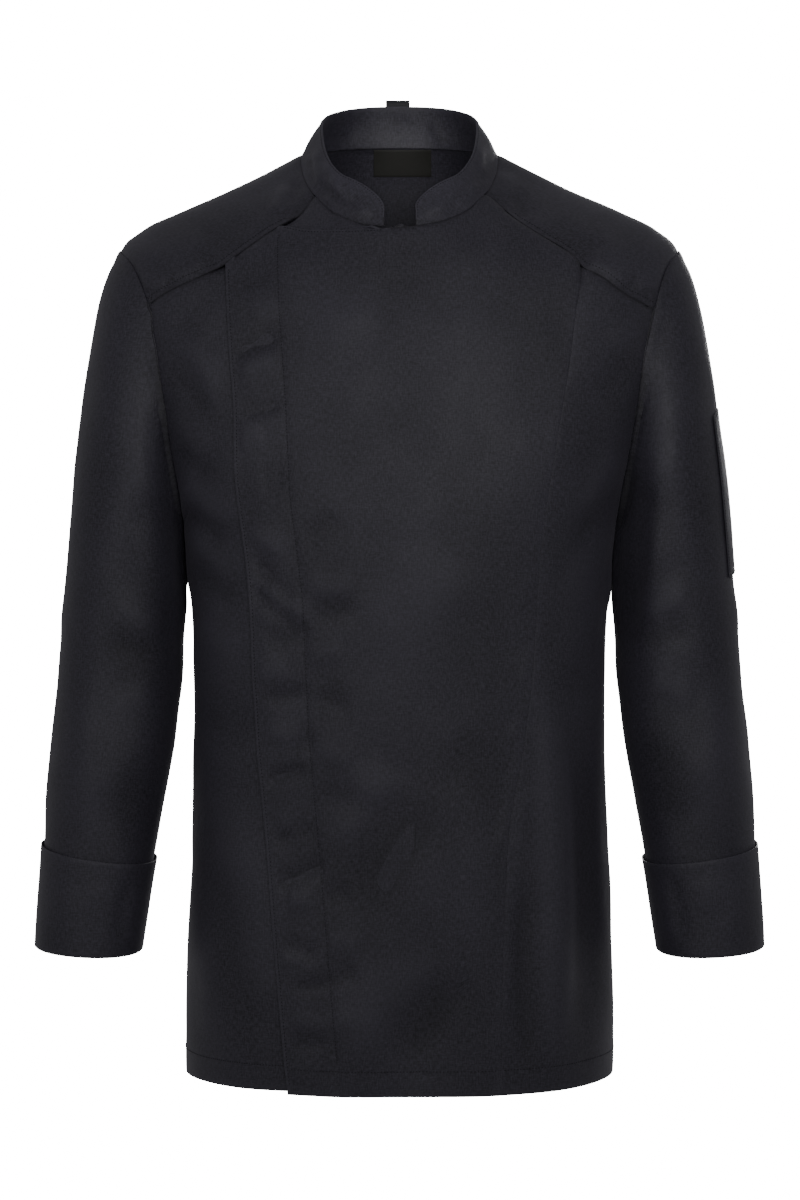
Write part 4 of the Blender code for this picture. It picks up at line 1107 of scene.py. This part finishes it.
for side, toward in TOWARD_BODY.items():
    folds = {"front": CUFF_FOLDS, "back": mirrored(CUFF_FOLDS, 4)}
    if side == "right":
        folds = {"front": mirrored(CUFF_FOLDS, 3, 0.8), "back": CUFF_FOLDS}
    cuff = cloth_piece("turned_cuff_" + side, "cuff_" + side, folds, sewn_side=toward, narrowest=0.0018,
                       dip=0.0, softness=0.4, free=1.0)
    fold_under(cuff, -630, CUFF_LIP)
    finish_cloth(cuff, ["cuff_" + side])


# ------------ pen pocket
# A narrow patch pocket for pens on the outside of the left upper arm. It is stitched down along its
# sides and its bottom, and the same row holds its turned top.

pocket = cloth_piece("pen_pocket", "sleeve_pocket", {"left": ((-10, -215, -4, -330, 3, 12, 0.8, 1.5),)},
                     dip=0.2, softness=0.3, free=1.0)
sew("pocket_stitching", pocket, [edge_path(pocket, lambda x, y, z: True, EDGE_INSET)])
finish_cloth(pocket, ["sleeve_pocket"])


# ------------ neck label
# A plain woven satin label inside the back of the neck, below the collar. It is stitched flat along
# all its edges and carries nothing.

def ribbed(name, surface, direction, scale, distortion, dark, light, strength, depth):
    """A narrow weave whose ribs, a wave in one direction, are both seen and felt."""
    material = new_material(name, surface)
    tree = material.node_tree
    place = add_node(tree, "TexCoord", {}).outputs["Object"]
    rib = add_node(tree, "TexWave", {"Scale": scale, "Distortion": distortion, "Vector": place},
                   bands_direction=direction).outputs["Fac"]
    bump = add_node(tree, "Bump", {"Strength": strength, "Distance": depth, "Height": rib})
    set_inputs(tree, tree.nodes["Principled BSDF"], {
        "Base Color": mixed(tree, rib, dark, light), "Normal": bump.outputs["Normal"]})
    return material


satin = ribbed("label_satin", {"Roughness": 0.55, "Specular IOR Level": 0.2}, 'Z', 700.0, 0.4,
               (0.0082, 0.0080, 0.0068, 1), (0.0125, 0.0121, 0.0104, 1), 0.4, 0.0001)
label = make_item("woven_label", outer_skin("neck_label"))
cut_flat(label)
refine(label, 2)
sew("label_stitching", label, [edge_path(label, lambda x, y, z: True, 1.2)])
finish_cloth(label, ["neck_label"], thickness=0.4, edge_round=0.12, material=satin)


# ------------ hanging loop
# A slack loop of black cotton tape with a ribbed weave, to hang the jacket by. Its two ends are sewn
# to the back of the collar.

tape = ribbed("loop_tape", {"Roughness": 0.7, "Specular IOR Level": 0.25}, 'DIAGONAL', 450.0, 0.8,
              (0.0065, 0.0065, 0.0080, 1), (0.0190, 0.0188, 0.0220, 1), 0.5, 0.00015)
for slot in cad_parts["hanging_loop"].material_slots:
    slot.material = tape


# ------------ floor and light
# A white floor and a white room. The jacket itself is lit by three large soft lamps, two in front and a
# stronger one behind, and by a narrow one in front of the neck, onto the inside of the collar and the label.

# How bright the floor and the room look, and how strongly the room lights the jacket.
WHITE, ROOM_LIGHT = 18.0, 0.35
floor_mesh = bmesh.new()
bmesh.ops.create_circle(floor_mesh, cap_ends=True, segments=64, radius=40)
bmesh.ops.translate(floor_mesh, verts=floor_mesh.verts, vec=(0, 0, -0.84))
floor = make_item("floor", floor_mesh)
floor.data.materials.append(new_material("pale_floor", {
    "Base Color": (0.93, 0.93, 0.93, 1), "Roughness": 0.9, "Emission Color": (1, 1, 1, 1),
    "Emission Strength": WHITE}))
floor.visible_diffuse = False
floor.visible_glossy = False
floor.visible_shadow = False

world = bpy.data.worlds.new("studio")
world.use_nodes = True
room = world.node_tree
seen = add_node(room, "LightPath", {}).outputs["Is Camera Ray"]
bright = add_node(room, "MapRange", {"To Min": ROOM_LIGHT, "To Max": WHITE, "Value": seen}).outputs["Result"]
set_inputs(room, room.nodes["Background"], {"Color": (1, 1, 1, 1), "Strength": bright})
bpy.context.scene.world = world


def hang_lamp(name, kind, place, target, power):
    """A lamp that looks at a target and isn't seen itself; what it returns is its light."""
    light = bpy.data.lights.new(name, kind)
    light.energy = power
    lamp = bpy.data.objects.new(name, light)
    lamp.location = place
    lamp.rotation_euler = (Vector(target) - Vector(place)).to_track_quat('-Z', 'Y').to_euler()
    lamp.visible_camera = False
    bpy.context.scene.collection.objects.link(lamp)
    return light


# columns: name, place, size, power
for name, place, size, power in (("front_lamp", (0.26, -1.10, 0.10), 0.5, 4.8),
                                 ("front_fill", (-0.65, -1.25, -0.10), 0.8, 3.6),
                                 ("back_lamp", (0.45, 1.4, 0.1), 0.7, 15)):
    hang_lamp(name, 'AREA', place, (0, 0, -0.25), power).size = size
neck_light = hang_lamp("neck_lamp", 'SPOT', (0, -1.3, -0.167), (0, 0.07, 0.020), 46)
neck_light.shadow_soft_size = 0.04
neck_light.spot_size = math.radians(6.0)
neck_light.spot_blend = 1.0
